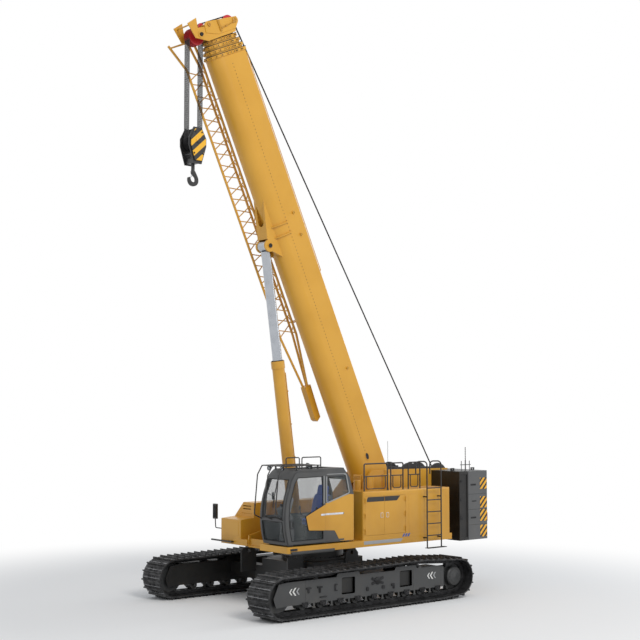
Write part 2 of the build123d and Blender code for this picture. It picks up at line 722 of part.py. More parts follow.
with BuildPart() as engine_housing:
    with BuildSketch(side_plane(hood_mid_y)):
        with Locations((hood_mid_x, (deck_top + hood_top) / 2)):
            Rectangle(hood_length, hood_top - deck_top)
    extrude(amount=hood_half, both=True)
    long_top = engine_housing.edges().filter_by(Axis.X).group_by(Axis.Z)[-1].sort_by(Axis.Y)[-1]
    posts = engine_housing.edges().filter_by(Axis.Z)
    rear_post = posts.group_by(Axis.X)[0].sort_by(Axis.Y)[-1]
    front_post = posts.group_by(Axis.X)[-1].sort_by(Axis.Y)[-1]
    fillet([long_top, rear_post, front_post], 45)
    with BuildSketch(side_plane(hood_mid_y)):
        with Locations((hood_mid_x, (deck_top + hood_top - hood_wall) / 2)):
            Rectangle(hood_length - 2 * hood_wall, hood_top - hood_wall - deck_top)
    extrude(amount=hood_half - hood_wall, both=True, mode=Mode.SUBTRACT)
    with BuildSketch(side_plane(half_width + 5)):
        with Locations(((engine_doors[0][1] + engine_doors[1][1]) / 2, (door_low_z + door_high_z) / 2)):
            Rectangle(engine_doors[0][1] - engine_doors[1][1] + 2 * door_play,
                      door_high_z - door_low_z + 2 * door_play)
    extrude(amount=hood_wall + 10, mode=Mode.SUBTRACT)
    # lip that the closed doors lie on
    for name, hinge_x, latch_x in engine_doors:
        with BuildSketch(side_plane(half_width - door_sheet - running_gap)):
            with Locations(((hinge_x + latch_x) / 2, (door_low_z + door_high_z) / 2)):
                Rectangle(abs(hinge_x - latch_x) + 2 * door_play, door_high_z - door_low_z + 2 * door_play)
                Rectangle(abs(hinge_x - latch_x) - 60, door_high_z - door_low_z - 60, mode=Mode.SUBTRACT)
        extrude(amount=hood_wall - door_sheet - running_gap)
        # fixed knuckles over and under each knuckle of the door
        post_way = 1 if hinge_x > latch_x else -1
        for hinge_z in hinge_heights:
            for end in (1, -1):
                knuckle_z = hinge_z + end * (hinge_length / 2 + hinge_length / 4 + running_gap)
                with BuildSketch(Plane.XY.offset(knuckle_z)):
                    with Locations((hinge_x, half_width + hinge_stand)):
                        Circle(hinge_radius)
                    with Locations((hinge_x + post_way * 25, half_width + hinge_leaf)):
                        Rectangle(38, 2 * hinge_leaf)
                    with Locations((hinge_x + post_way * 6, half_width + hinge_stand / 2)):
                        Rectangle(12, hinge_stand)
                extrude(amount=hinge_length / 4, both=True)
    # silencer with its outlet, and the air cleaner, columns: x, y, radius, height
    for pot_x, pot_y, pot_radius, pot_height in hood_pots:
        with BuildSketch(Plane.XY.offset(hood_top - hood_wall)):
            with Locations((pot_x, pot_y)):
                Circle(pot_radius)
        extrude(amount=hood_wall + pot_height)
        pot_rim = engine_housing.edges().filter_by(GeomType.CIRCLE).sort_by(Axis.Z)[-1]
        fillet(pot_rim, 20)
engine_housing.part.label = "engine_housing"
export_step(engine_housing.part, "parts/engine_housing.step")

for name, hinge_x, latch_x in engine_doors:
    with BuildPart() as engine_door:
        with BuildSketch(side_plane(half_width)):
            with Locations(((hinge_x + latch_x) / 2, (door_low_z + door_high_z) / 2)):
                Rectangle(abs(hinge_x - latch_x), door_high_z - door_low_z)
        extrude(amount=door_sheet)
        toward_hinge = 1 if hinge_x > latch_x else -1
        with BuildSketch(side_plane(half_width + 12)):
            with Locations((latch_x + toward_hinge * 90, 2020)):
                RectangleRounded(60, 100, 12)
        extrude(amount=12)
        for hinge_z in hinge_heights:
            with BuildSketch(Plane.XY.offset(hinge_z)):
                with Locations((hinge_x, half_width + hinge_stand)):
                    Circle(hinge_radius)
                with Locations((hinge_x - toward_hinge * 25, half_width + hinge_leaf / 2)):
                    Rectangle(50, hinge_leaf)
                with Locations((hinge_x - toward_hinge * 6, half_width + hinge_stand / 2)):
                    Rectangle(12, hinge_stand)
            extrude(amount=hinge_length / 2, both=True)
    engine_door.part.label = f"engine_door_{name}"
    export_step(engine_door.part, f"parts/engine_door_{name}.step")

with BuildPart() as engine:
    with BuildSketch(Plane.XY.offset(deck_top + 30)):
        with Locations((-1500, hood_mid_y)):
            Rectangle(1500, 480)
    extrude(amount=750)
    with BuildSketch(Plane.XY.offset(deck_top)):
        with Locations((-1500, hood_mid_y)):
            with GridLocations(1100, 340, 2, 2):
                Rectangle(120, 80)
    extrude(amount=30)
engine.part.label = "engine"
export_step(engine.part, "parts/engine.step")

# ---------------------------------------------------------------- right housing
tank_front = 1530.0
tank_wall_x = 1140.0       # raised part from here back
tank_low = 1900.0
tank_high = 2290.0
tank_slope_y = 1110.0      # top edge of the leaning side
tank_slots = (2200.0, 2130.0)

with BuildPart() as tank_housing:
    with BuildSketch(side_plane(-1100)):
        with BuildLine():
            Polyline((tank_front, deck_top), (tank_front, tank_low), (tank_wall_x, tank_low + 30),
                     (tank_wall_x, tank_high), (hood_rear, tank_high), (hood_rear, deck_top), close=True)
        make_face()
    extrude(amount=400, both=True)
    # outer side leans in above the front part
    with BuildSketch(cross_plane(tank_wall_x)):
        with BuildLine():
            Polyline((-half_width - 10, tank_low), (-tank_slope_y, tank_high + 10),
                     (-half_width - 10, tank_high + 10), close=True)
        make_face()
    extrude(amount=hood_rear - tank_wall_x, mode=Mode.SUBTRACT)
    offset(amount=-hood_wall, openings=tank_housing.faces().sort_by(Axis.Z)[0])
    # cooling slots and round holes through the raised wall
    with BuildSketch(cross_plane(tank_wall_x + 5)):
        for slot_z in tank_slots:
            with Locations((-tank_slope_y + 130, slot_z)):
                SlotOverall(330, 22)
        with Locations((-tank_slope_y + 130, tank_high - 270)):
            with GridLocations(85, 1, 5, 1):
                Circle(15)
    extrude(amount=-hood_wall - 10, mode=Mode.SUBTRACT)
    add(bent_tube([(1380, -half_width + 5, 1810), (1380, -half_width - 70, 1810),
                   (1380, -half_width - 70, 1590), (1380, -half_width + 5, 1590)], 11, 30))
tank_housing.part.label = "tank_housing"
export_step(tank_housing.part, "parts/tank_housing.step")

step_bar_z = 1345.0

with BuildPart() as mirror:
    with BuildLine() as arm:
        FilletPolyline((1480, -1500, 1640), (1480, -1810, 1640), (1480, -1830, 1860), radius=40)
    with BuildSketch(Plane(origin=arm.line @ 0, z_dir=arm.line % 0)):
        Circle(13)
    sweep()
    with BuildSketch(Plane.XY.offset(1855)):
        with Locations((1480, -1830)):
            Rectangle(50, 150)
    extrude(amount=370)
    fillet(mirror.edges().filter_by(Axis.X), 18)
    # step bar on the deck's front edge
    with BuildSketch(Plane.XY.offset(step_bar_z)):
        with Locations((tank_front + running_gap + 40, -1080)):
            Rectangle(80, 200)
        with Locations((tank_front + running_gap + 60, -1420)):
            Rectangle(40, 800)
    extrude(amount=36)
mirror.part.label = "right_mirror"
export_step(mirror.part, "parts/right_mirror.step")

# ---------------------------------------------------------------- counterweight
weight_front = -3790.0
weight_rear = -4860.0
weight_half = 1450.0
notch_half = cheek_y + cheek_thickness + running_gap
notch_rear = -4460.0
weight_chamfer = 45.0
panel_length = 320.0
panel_depth = 18.0
lifting_y = 1050.0
lifting_eyes = (-3950.0, -4700.0)
mast_x = -4330.0
mast_y = 1150.0
mast_height = 250.0
# columns: bottom, top of each slab
slabs = [(1220, 1599.5), (1600, 1989.5), (1990, 2379.5), (2380, 2970)]
with BuildPart() as counterweight:
    for low, high in slabs:
        with BuildSketch(Plane.XY.offset(low)):
            with Locations(((weight_front + weight_rear) / 2, 0)):
                Rectangle(weight_front - weight_rear, 2 * weight_half)
            with Locations(((weight_front + notch_rear) / 2 + 50, 0)):
                Rectangle(weight_front - notch_rear + 100, 2 * notch_half, mode=Mode.SUBTRACT)
        extrude(amount=high - low)
    chamfer(counterweight.edges().filter_by(Axis.Z).group_by(Axis.X)[0], weight_chamfer)
    # recessed panel over the front of both sides
    for side in (1, -1):
        with BuildSketch(side_plane(side * weight_half)):
            with Locations((weight_front - panel_length / 2, (slabs[0][0] + slabs[-1][1]) / 2)):
                Rectangle(panel_length - 60, slabs[-1][1] - slabs[0][0] - 160)
        extrude(amount=panel_depth, dir=(0, -side, 0), mode=Mode.SUBTRACT)
    # lifting eyes on the top slab
    for eye_side in (1, -1):
        for eye_place in lifting_eyes:
            with BuildSketch(side_plane(eye_side * lifting_y)):
                with Locations((eye_place, slabs[-1][1] + 30)):
                    Rectangle(120, 80)
                    Circle(24, mode=Mode.SUBTRACT)
            extrude(amount=15, both=True)
    # lamp mast with its cross arm
    with BuildSketch(Plane.XY.offset(slabs[-1][1])):
        with Locations((mast_x, mast_y)):
            Circle(16)
        with Locations((mast_x + 150, mast_y), (mast_x - 150, mast_y)):
            Circle(10)
    extrude(amount=mast_height)
    with BuildSketch(cross_plane(mast_x - 190)):
        with Locations((mast_y, slabs[-1][1] + mast_height * 0.6)):
            Circle(10)
    extrude(amount=380)
counterweight.part.label = "counterweight"
export_step(counterweight.part, "parts/counterweight.step")

# ---------------------------------------------------------------- winches
# columns: name, x, z
winches = [("main", -4090.0, 2810.0), ("auxiliary", -3040.0, 2845.0)]
drum_flange = 340.0
drum_core = 200.0
drum_half = cheek_y - 12
for name, winch_x, winch_z in winches:
    with BuildPart() as drum:
        with BuildSketch(side_plane(0)):
            with Locations((winch_x, winch_z)):
                Circle(drum_core)
        extrude(amount=drum_half, both=True)
        for end in (1, -1):
            with BuildSketch(side_plane(end * (drum_half - 15))):
                with Locations((winch_x, winch_z)):
                    Circle(drum_flange)
            extrude(amount=15, both=True)
        with BuildSketch(side_plane(0)):
            with Locations((winch_x, winch_z)):
                Circle(60)
        extrude(amount=cheek_y - running_gap, both=True)
    drum.part.label = f"{name}_winch_drum"
    export_step(drum.part, f"parts/{name}_winch_drum.step")

# ---------------------------------------------------------------- ladder and handrails
tube = 17.0


ladder_y = half_width + 130
ladder_x = (-2450.0, -2940.0)
stringers = tube_set([[(x, ladder_y, 1150), (x, ladder_y, 3270), (x + 260, ladder_y - 130, 3270),
                       (x + 260, ladder_y - 130, 2950)] for x in ladder_x], tube, 90)
with BuildPart() as ladder:
    add(stringers)
    for rung in range(5):
        with BuildSketch(cross_plane(ladder_x[1])):
            with Locations((ladder_y, 1450 + 290 * rung)):
                Circle(tube * 0.8)
        extrude(amount=ladder_x[0] - ladder_x[1])
    with BuildSketch(Plane.XY.offset(1140)):
        with Locations(((ladder_x[0] + ladder_x[1]) / 2 - 60, ladder_y)):
            Rectangle(640, 130)
    extrude(amount=14)
    for stringer_x in ladder_x:
        for clip_z in (1400, 2400):
            with BuildSketch(side_plane(ladder_y)):
                with Locations((stringer_x, clip_z)):
                    Rectangle(30, 30)
            extrude(amount=ladder_y - half_width - running_gap)
ladder.part.label = "access_ladder"
export_step(ladder.part, "parts/access_ladder.step")

rail_y = 1400.0
# columns: front x, rear x of each frame
rail_frames = [(-570, -1330), (-1440, -1850), (-2030, -2430)]
rail_hoops = tube_set([[(front, rail_y, hood_top), (front, rail_y, 3250), (rear, rail_y, 3250),
                        (rear, rail_y, hood_top)] for front, rear in rail_frames], tube, 40)
rail_loops = tube_set([[(front - 70, rail_y, 2950), (front - 70, rail_y, 2650), (rear + 70, rail_y, 2650),
                        (rear + 70, rail_y, 2950)] for front, rear in rail_frames], tube * 0.7, 60)
with BuildPart() as handrails:
    add(rail_hoops)
    add(rail_loops)
    for front, rear in rail_frames:
        with BuildSketch(cross_plane(rear)):
            with Locations((rail_y, 2950)):
                Circle(tube * 0.8)
        extrude(amount=front - rear)
handrails.part.label = "hood_handrails"
export_step(handrails.part, "parts/hood_handrails.step")

roof_rail_y = cab_inner_y + 120
roof_rail_z = 3420.0
guard_bars = tube_set([[(1300, y, 3265), (1900, y, 3265), (2030, y, 3060), (2120, y, 2150), (1850, y, 2030)]
                       for y in (cab_inner_y + 60, cab_mid_y, cab_outer_y - 60)], 14, 60)
# rails along the far side of the roof. columns: front x, rear x
roof_rails = tube_set([[(front, roof_rail_y, cab_roof - 30), (front, roof_rail_y, roof_rail_z),
                        (rear, roof_rail_y, roof_rail_z), (rear, roof_rail_y, cab_roof - 30)]
                       for front, rear in ((1240, 840), (760, 180))], tube * 0.8, 40)
with BuildPart() as cab_guards:
    add(guard_bars)
    add(roof_rails)
    with BuildSketch(Plane.XY.offset(3255)):
        with Locations((1350, cab_mid_y)):
            Rectangle(1100, 2 * cab_half - 80)
            with GridLocations(130, 1, 8, 1):
                Rectangle(90, 2 * cab_half - 180, mode=Mode.SUBTRACT)
    extrude(amount=20)
    for post_x in (870, 1500):
        for post_y in (cab_inner_y + 60, cab_outer_y - 60):
            with BuildSketch(Plane.XY.offset(3100)):
                with Locations((post_x, post_y)):
                    Rectangle(30, 30)
            extrude(amount=160)
    with BuildSketch(side_plane(cab_mid_y)):
        add(cab_outline.sketch)
    extrude(amount=cab_half, both=True, mode=Mode.SUBTRACT)
cab_guards.part.label = "cab_guards"
export_step(cab_guards.part, "parts/cab_guards.step")

# ---------------------------------------------------------------- boom
def boom_outline(inset):
    """Boom section drawn across and upward: flat sides on a round belly, inset all round."""
    half = boom_half_width - inset
    top = boom_top - inset
    with BuildSketch() as outline:
        with BuildLine():
            Polyline((half, -boom_belly), (half, top), (-half, top), (-half, -boom_belly))
            ThreePointArc((-half, -boom_belly), (0, -boom_belly - half), (half, -boom_belly))
        make_face()
        fillet(outline.vertices().group_by(Axis.Y)[-1], top_radius)
    return outline.sketch


def boom_ring(start, end, outer_inset, inner_inset):
    """Hollow length of boom between two insets from the base section's outline."""
    with BuildPart() as ring:
        with BuildSketch(cross_plane(start)):
            add(boom_outline(outer_inset))
            add(boom_outline(inner_inset), mode=Mode.SUBTRACT)
        extrude(amount=end - start)
    return ring.part


def collar(front, inset):
    """Stiffened mouth of a section, with its wear pads down to the section inside it,
    their adjusting blocks on both sides and two lugs on top."""
    side = boom_half_width - inset + collar_stand
    top = boom_top - inset + collar_stand
    with BuildPart() as mouth:
        add(boom_ring(front - collar_length, front, inset - collar_stand, inset + boom_step - running_gap))
        with BuildSketch(cross_plane(front - collar_length + 10)):
            for height in pad_heights:
                with Locations((side, height), (-side, height)):
                    Rectangle(2 * pad_stand, 70)
            with Locations((0.55 * side, top), (-0.55 * side, top)):
                Rectangle(50, 2 * lug_stand)
            add(boom_outline(inset - collar_stand + 5), mode=Mode.SUBTRACT)
        extrude(amount=collar_length - 20)
    return mouth.part


section_fronts = [base_front + collar_pitch * i for i in range(section_count + 1)]
section_tails = [boom_tail] + [section_tail + tail_pitch * i for i in range(section_count)]
ear_inner = eye_half_width + 5
boss_end = cheek_y - slide_gap

gusset_end = eye_s + gusset_length
# face plate over both ears, from the rod eye up to the belly, with its round-ended cut-out
with BuildPart() as gusset:
    with BuildSketch(side_plane(0)):
        with BuildLine():
            Polyline((eye_s + ear_radius + 20, eye_n), (gusset_end, -500), (gusset_end, -500 - gusset_sheet),
                     (eye_s + ear_radius + 20, eye_n - gusset_sheet), close=True)
        make_face()
    extrude(amount=ear_inner + ear_width, both=True)
    with BuildSketch(Plane.XY.offset(eye_n - 50)):
        with Locations((eye_s + gusset_length / 2, 0)):
            Circle(gusset_notch)
        with Locations((eye_s + gusset_length, 0)):
            Rectangle(gusset_length, 2 * gusset_notch)
    extrude(amount=400, mode=Mode.SUBTRACT)

with BuildPart() as boom_base:
    add(boom_ring(boom_tail, base_front, 0, boom_wall))
    add(gusset.part)
    for boss_s, boss_n in side_bosses:
        with BuildSketch(side_plane(0)):
            with Locations((boss_s, boss_n)):
                Circle(boss_radius)
        extrude(amount=boom_half_width + boss_stand, both=True)
    # bosses on the foot pin
    for cheek in (1, -1):
        with BuildSketch(side_plane(cheek * boss_end)):
            Circle(pivot_pin_radius + 90)
        extrude(amount=boss_end - boom_half_width + boom_wall, dir=(0, -cheek, 0))
    # ears of the luffing cylinder's rod eye, joined to the belly by a doubler
    for ear in (1, -1):
        with BuildSketch(side_plane(ear * (ear_inner + ear_width / 2))):
            with BuildLine():
                Polyline((eye_s - ear_radius + 20, eye_n), (eye_s - 420, -500), (gusset_end, -500),
                         (eye_s + ear_radius + 20, eye_n), close=True)
            make_face()
            with Locations((eye_s, eye_n)):
                Circle(ear_radius)
        extrude(amount=ear_width / 2, both=True)
    for band_s in belly_bands:
        with BuildSketch(cross_plane(band_s)):
            add(boom_outline(-band_height))
            add(boom_outline(boom_wall), mode=Mode.SUBTRACT)
            with Locations((0, 500 - boom_belly + 150)):
                Rectangle(1000, 1000, mode=Mode.SUBTRACT)
        extrude(amount=band_thickness)
    # clear inside, heel cut away, bore of the foot pin
    with BuildSketch(cross_plane(boom_tail)):
        add(boom_outline(boom_wall))
    extrude(amount=base_front - boom_tail, mode=Mode.SUBTRACT)
    with BuildSketch(side_plane(0)):
        with BuildLine():
            Polyline((boom_tail - 10, -100), (350, -650), (boom_tail - 10, -650), close=True)
        make_face()
    extrude(amount=boom_half_width + 50, both=True, mode=Mode.SUBTRACT)
    with BuildSketch(side_plane(0)):
        Circle(pivot_pin_radius + running_gap)
    extrude(amount=cheek_y, both=True, mode=Mode.SUBTRACT)
    add(collar(base_front, 0))
    with BuildSketch(side_plane(0)):
        with Locations((eye_s, eye_n)):
            Circle(eye_pin_radius)
    extrude(amount=ear_inner + ear_width + 20, both=True)
boom_base.part.locate(boom_place)
boom_base.part.label = "boom_base"
export_step(boom_base.part, "parts/boom_base.step")

for number in range(1, section_count + 1):
    inset = boom_step * number
    with BuildPart() as section:
        add(boom_ring(section_tails[number], section_fronts[number], inset, inset + boom_wall))
        # rear wear pads that ride inside the section outside
        add(boom_ring(section_tails[number], section_tails[number] + tail_pitch,
                      inset - boom_step + boom_wall + running_gap, inset + boom_wall))
        if number < section_count:
            add(collar(section_fronts[number], inset))
    section.part.locate(boom_place)
    section.part.label = f"boom_section_{number + 1}"
    export_step(section.part, f"parts/boom_section_{number + 1}.step")

# ---------------------------------------------------------------- boom head
head_start = section_fronts[-1]
# columns: along the boom from the foot pin, height over its line
head_outline = [(11700, 240), (11900, 309), (11986, -334), (12025, -800), (12252, -752), (12192, -1031),
                (11824, -945), (11670, -620)]
# columns: along, height, radius, half width
guide_table = [(11960, 340, 180, 24), (12035, -480, 95, 24)]
# rods that keep the ropes in their grooves. columns: along, height
head_ties = [(12150, -930), (11880, 40)]
tie_radius = 18.0
rib_stand = 12.0
with BuildPart() as head:
    with BuildSketch(cross_plane(head_start)):
        with Locations((0, -160)):
            Rectangle(2 * head_half_width, 740)
    extrude(amount=30)
    for cheek in (1, -1):
        with BuildSketch(side_plane(cheek * (head_half_width - head_plate / 2))):
            with BuildLine():
                Polyline(*head_outline, close=True)
            make_face()
            for guide_s, guide_n, guide_radius, guide_half in guide_table:
                with Locations((guide_s, guide_n)):
                    Circle(guide_pin + 45)
            with Locations((sheave_s, sheave_n)):
                Circle(axle_radius + running_gap, mode=Mode.SUBTRACT)
        extrude(amount=head_plate / 2, both=True)
        # rib down the outside of the plate, and the sheave axle's boss
        with BuildSketch(side_plane(cheek * head_half_width)):
            with BuildLine():
                Polyline((11830, -230), (11850, -150), (12005, -150), (12010, -230), close=True)
            make_face()
            with Locations((sheave_s, sheave_n)):
                Circle(axle_radius + 45)
                Circle(axle_radius + running_gap, mode=Mode.SUBTRACT)
        extrude(amount=rib_stand, dir=(0, cheek, 0))
    for tie_s, tie_n in head_ties:
        with BuildSketch(side_plane(0)):
            with Locations((tie_s, tie_n)):
                Circle(tie_radius)
        extrude(amount=head_half_width, both=True)
    for guide_s, guide_n, guide_radius, guide_half in guide_table:
        with BuildSketch(side_plane(0)):
            with Locations((guide_s, guide_n)):
                Circle(guide_pin)
        extrude(amount=head_half_width + 15, both=True)
head.part.locate(boom_place)
head.part.label = "boom_head"
export_step(head.part, "parts/boom_head.step")


def sheave_stack(count, groove, rim, pitch, bore):
    """Row of grooved sheaves side by side on the line through the origin along Y."""
    half = count * pitch / 2
    outline = [(bore, half), (bore, -half), (groove + rim_floor, -half)]
    for index in range(count):
        start = -half + index * pitch
        outline += [(rim, start + 0.1 * pitch), (groove, start + 0.4 * pitch), (groove, start + 0.6 * pitch),
                    (rim, start + 0.9 * pitch), (groove + rim_floor, start + pitch)]
    with BuildPart() as stack:
        with BuildSketch(Plane.XY):
            with BuildLine():
                Polyline(*outline, close=True)
            make_face()
        revolve(axis=Axis.Y)
    return stack.part


with BuildPart() as guide_sheaves:
    for guide_s, guide_n, guide_radius, guide_half in guide_table:
        guide = sheave_stack(1, guide_radius - 35, guide_radius, 2 * guide_half, guide_pin + running_gap)
        add(guide.located(Location((guide_s, 0, guide_n))))
guide_sheaves.part.locate(boom_place)
guide_sheaves.part.label = "guide_sheaves"
export_step(guide_sheaves.part, "parts/guide_sheaves.step")

head_sheaves = sheave_stack(sheave_count, sheave_groove, sheave_radius, sheave_width, axle_radius + running_gap)
head_sheaves.locate(boom_place * Location((sheave_s, 0, sheave_n)))
head_sheaves.label = "head_sheaves"
export_step(head_sheaves, "parts/head_sheaves.step")

# axle of the head sheaves, with the rope anchor that hangs plumb from it
sheave_half = sheave_count * sheave_width / 2
with BuildPart() as head_axle:
    with BuildSketch(side_plane(0)):
        Circle(axle_radius)
    extrude(amount=head_half_width + 30, both=True)
head_axle.part.locate(boom_place * Location((sheave_s, 0, sheave_n)))
head_axle.part.label = "head_axle"
export_step(head_axle.part, "parts/head_axle.step")

# ---------------------------------------------------------------- luffing cylinder
boom_rise = radians(boom_angle)
eye_x = pivot_x + eye_s * cos(boom_rise) - eye_n * sin(boom_rise)
eye_z = pivot_z + eye_s * sin(boom_rise) + eye_n * cos(boom_rise)
cylinder_length = hypot(eye_x - foot_x, eye_z - foot_z)
cylinder_angle = degrees(atan2(eye_z - foot_z, eye_x - foot_x))
# the cylinder stands along +X from its foot until this places it
cylinder_place = Location((foot_x, 0, foot_z), (0, -cylinder_angle, 0))

with BuildPart() as barrel:
    with BuildSketch(side_plane(0)):
        Circle(eye_radius)
    extrude(amount=eye_half_width, both=True)
    with BuildSketch(cross_plane(0)):
        Circle(eye_half_width - 20)
    extrude(amount=eye_radius + 80)
    with BuildSketch(cross_plane(eye_radius + 40)):
        Circle(barrel_radius)
    extrude(amount=barrel_length - eye_radius - 40)
    with BuildSketch(cross_plane(barrel_length - 180)):
        Circle(barrel_radius + 15)
    extrude(amount=180)
    with BuildSketch(side_plane(0)):
        Circle(eye_pin_radius + running_gap)
    extrude(amount=eye_half_width, both=True, mode=Mode.SUBTRACT)
    with BuildSketch(cross_plane(eye_radius + 90)):
        Circle(rod_radius + running_gap)
    extrude(amount=barrel_length, mode=Mode.SUBTRACT)
barrel.part.locate(cylinder_place)
barrel.part.label = "luff_cylinder_barrel"
export_step(barrel.part, "parts/luff_cylinder_barrel.step")

with BuildPart() as rod:
    with BuildSketch(cross_plane(cylinder_length - rod_length)):
        Circle(rod_radius)
    extrude(amount=rod_length - eye_radius + 20)
    with BuildSketch(side_plane(0)):
        with Locations((cylinder_length, 0)):
            Circle(eye_radius - 15)
    extrude(amount=eye_half_width, both=True)
    with BuildSketch(side_plane(0)):
        with Locations((cylinder_length, 0)):
            Circle(eye_pin_radius + running_gap)
    extrude(amount=eye_half_width, both=True, mode=Mode.SUBTRACT)
rod.part.locate(cylinder_place)
rod.part.label = "luff_cylinder_rod"
export_step(rod.part, "parts/luff_cylinder_rod.step")

# ---------------------------------------------------------------- lattice jib, stowed along the boom
def strut(start, end, radius):
    """Round bar between two points."""
    way = Vector(*end) - Vector(*start)
    with BuildPart() as bar:
        with BuildSketch(Plane(origin=start, z_dir=way)):
            Circle(radius)
        extrude(amount=way.length)
    return bar.part


def on_boom(along, y, height):
    """Point beside the boom at its parked angle."""
    return (boom_place * Location((along, y, height))).position


boom_way = (cos(boom_rise), 0, sin(boom_rise))
# columns: y and height at the pinned foot, at the lattice's full width, and at its tip
jib_chords = [(-640, -1080, -640, -800, -560, -690),
              (-600, -560, -620, -420, -540, -600),
              (-380, -560, -380, -490, -470, -640)]
jib_pitch = (jib_base - jib_full) / jib_bays
jib_bars = []
for foot_y, foot_n, full_y, full_n, tip_y, tip_n in jib_chords:
    jib_bars.append(bent_tube([on_boom(jib_foot, foot_y, foot_n), on_boom(jib_base, full_y, full_n),
                               on_boom(jib_full, full_y, full_n), on_boom(jib_tip, tip_y, tip_n)],
                              chord_radius, 150))
for chord in range(3):
    near_y, near_n = jib_chords[chord][2:4]
    far_y, far_n = jib_chords[(chord + 1) % 3][2:4]
    for bay in range(jib_bays):
        start = jib_full + jib_pitch * bay
        middle = start + jib_pitch / 2
        jib_bars.append(strut(on_boom(start + lace_offset, near_y, near_n),
                              on_boom(middle - lace_offset, far_y, far_n), lace_radius))
        jib_bars.append(strut(on_boom(middle + lace_offset, far_y, far_n),
                              on_boom(start + jib_pitch - lace_offset, near_y, near_n), lace_radius))
    foot_y, foot_n = jib_chords[chord][0:2]
    next_y, next_n = jib_chords[(chord + 1) % 3][0:2]
    jib_bars.append(strut(on_boom(jib_foot - 60, foot_y, foot_n), on_boom(jib_foot - 60, next_y, next_n),
                          lace_radius * 1.5))
with BuildPart() as jib:
    add(jib_bars)
    # tip box with its sheave
    with BuildSketch(Plane(origin=on_boom(0, -515, 0), x_dir=boom_way, z_dir=(0, -1, 0))):
        with BuildLine():
            Polyline((2030, -720), (2100, -590), (2970, -550), (2970, -740), (2100, -770), close=True)
        make_face()
    extrude(amount=90, both=True)
    # brackets on the boom's side
    for bracket_s in jib_brackets:
        with BuildSketch(Plane(origin=on_boom(bracket_s, 0, 0), x_dir=(0, 1, 0), z_dir=boom_way)):
            with BuildLine():
                Polyline((-boom_half_width - running_gap, -60), (-boom_half_width - running_gap, -290),
                         (-380, -490), (-620, -420), (-590, -330), close=True)
            make_face()
        extrude(amount=20)
jib.part.label = "lattice_jib"
export_step(jib.part, "parts/lattice_jib.step")

# ---------------------------------------------------------------- hook block
block_x = pivot_x + sheave_s * cos(boom_rise) - sheave_n * sin(boom_rise)
axle_z = pivot_z + sheave_s * sin(boom_rise) + sheave_n * cos(boom_rise)
block_top = axle_z - hook_drop
block_low = block_top - block_height
block_sheave_z = block_top - 310
# columns: from the block's middle line, below its top
cheek_outline = [(-110, 0), (110, 0), (240, -250), (240, -430), (110, -block_height),
                 (-110, -block_height), (-240, -430), (-240, -250)]
# columns: from the block's middle line, below its top
block_bolts = [(-60, -40), (60, -40), (-120, -620), (120, -620)]
block_bolt_radius = 16.0
weight_thickness = 46.0
with BuildPart() as block:
    for cheek in (1, -1):
        with BuildSketch(side_plane(cheek * block_half)):
            with BuildLine():
                Polyline(*[(block_x + x, block_top + z) for x, z in cheek_outline], close=True)
            make_face()
        extrude(amount=block_plate, dir=(0, -cheek, 0))
    with BuildSketch(side_plane(0)):
        with Locations((block_x, block_sheave_z)):
            Circle(axle_radius)
    extrude(amount=block_half + 20, both=True)
    # cheek weights on the plates, and the bolts that tie the plates
    for cheek in (1, -1):
        with BuildSketch(side_plane(cheek * block_half)):
            with BuildLine():
                Polyline(*[(block_x + 0.86 * x, block_top + 0.86 * z - 50) for x, z in cheek_outline], close=True)
            make_face()
        extrude(amount=weight_thickness, dir=(0, cheek, 0))
        outer = block.faces().sort_by(Axis.Y)[-1 if cheek > 0 else 0]
        chamfer(outer.edges(), 10)
    for bolt_x, bolt_z in block_bolts:
        with BuildSketch(side_plane(0)):
            with Locations((block_x + bolt_x, block_top + bolt_z)):
                Circle(block_bolt_radius)
        extrude(amount=block_half, both=True)
    with BuildSketch(Plane.XY.offset(block_low + 20)):
        with Locations((block_x, 0)):
            Rectangle(170, 2 * block_half - block_plate)
            Circle(shank_radius + running_gap, mode=Mode.SUBTRACT)
    extrude(amount=110)
block.part.label = "hook_block"
export_step(block.part, "parts/hook_block.step")

block_sheaves = sheave_stack(sheave_count, sheave_groove, sheave_radius, sheave_width,
                             axle_radius + running_gap)
block_sheaves.locate(Location((block_x, 0, block_sheave_z)))
block_sheaves.label = "hook_block_sheaves"
export_step(block_sheaves, "parts/hook_block_sheaves.step")

# falls of the hoist rope between the head sheaves and the block
with BuildPart() as hoist_ropes:
    with BuildSketch(Plane.XY.offset(block_sheave_z)):
        with Locations((block_x, 0)):
            with GridLocations(2 * rope_line, sheave_width, 2, sheave_count):
                Circle(rope_radius)
    extrude(amount=axle_z - block_sheave_z)
hoist_ropes.part.label = "hoist_ropes"
export_step(hoist_ropes.part, "parts/hoist_ropes.step")

hook_z = block_low - hook_reach
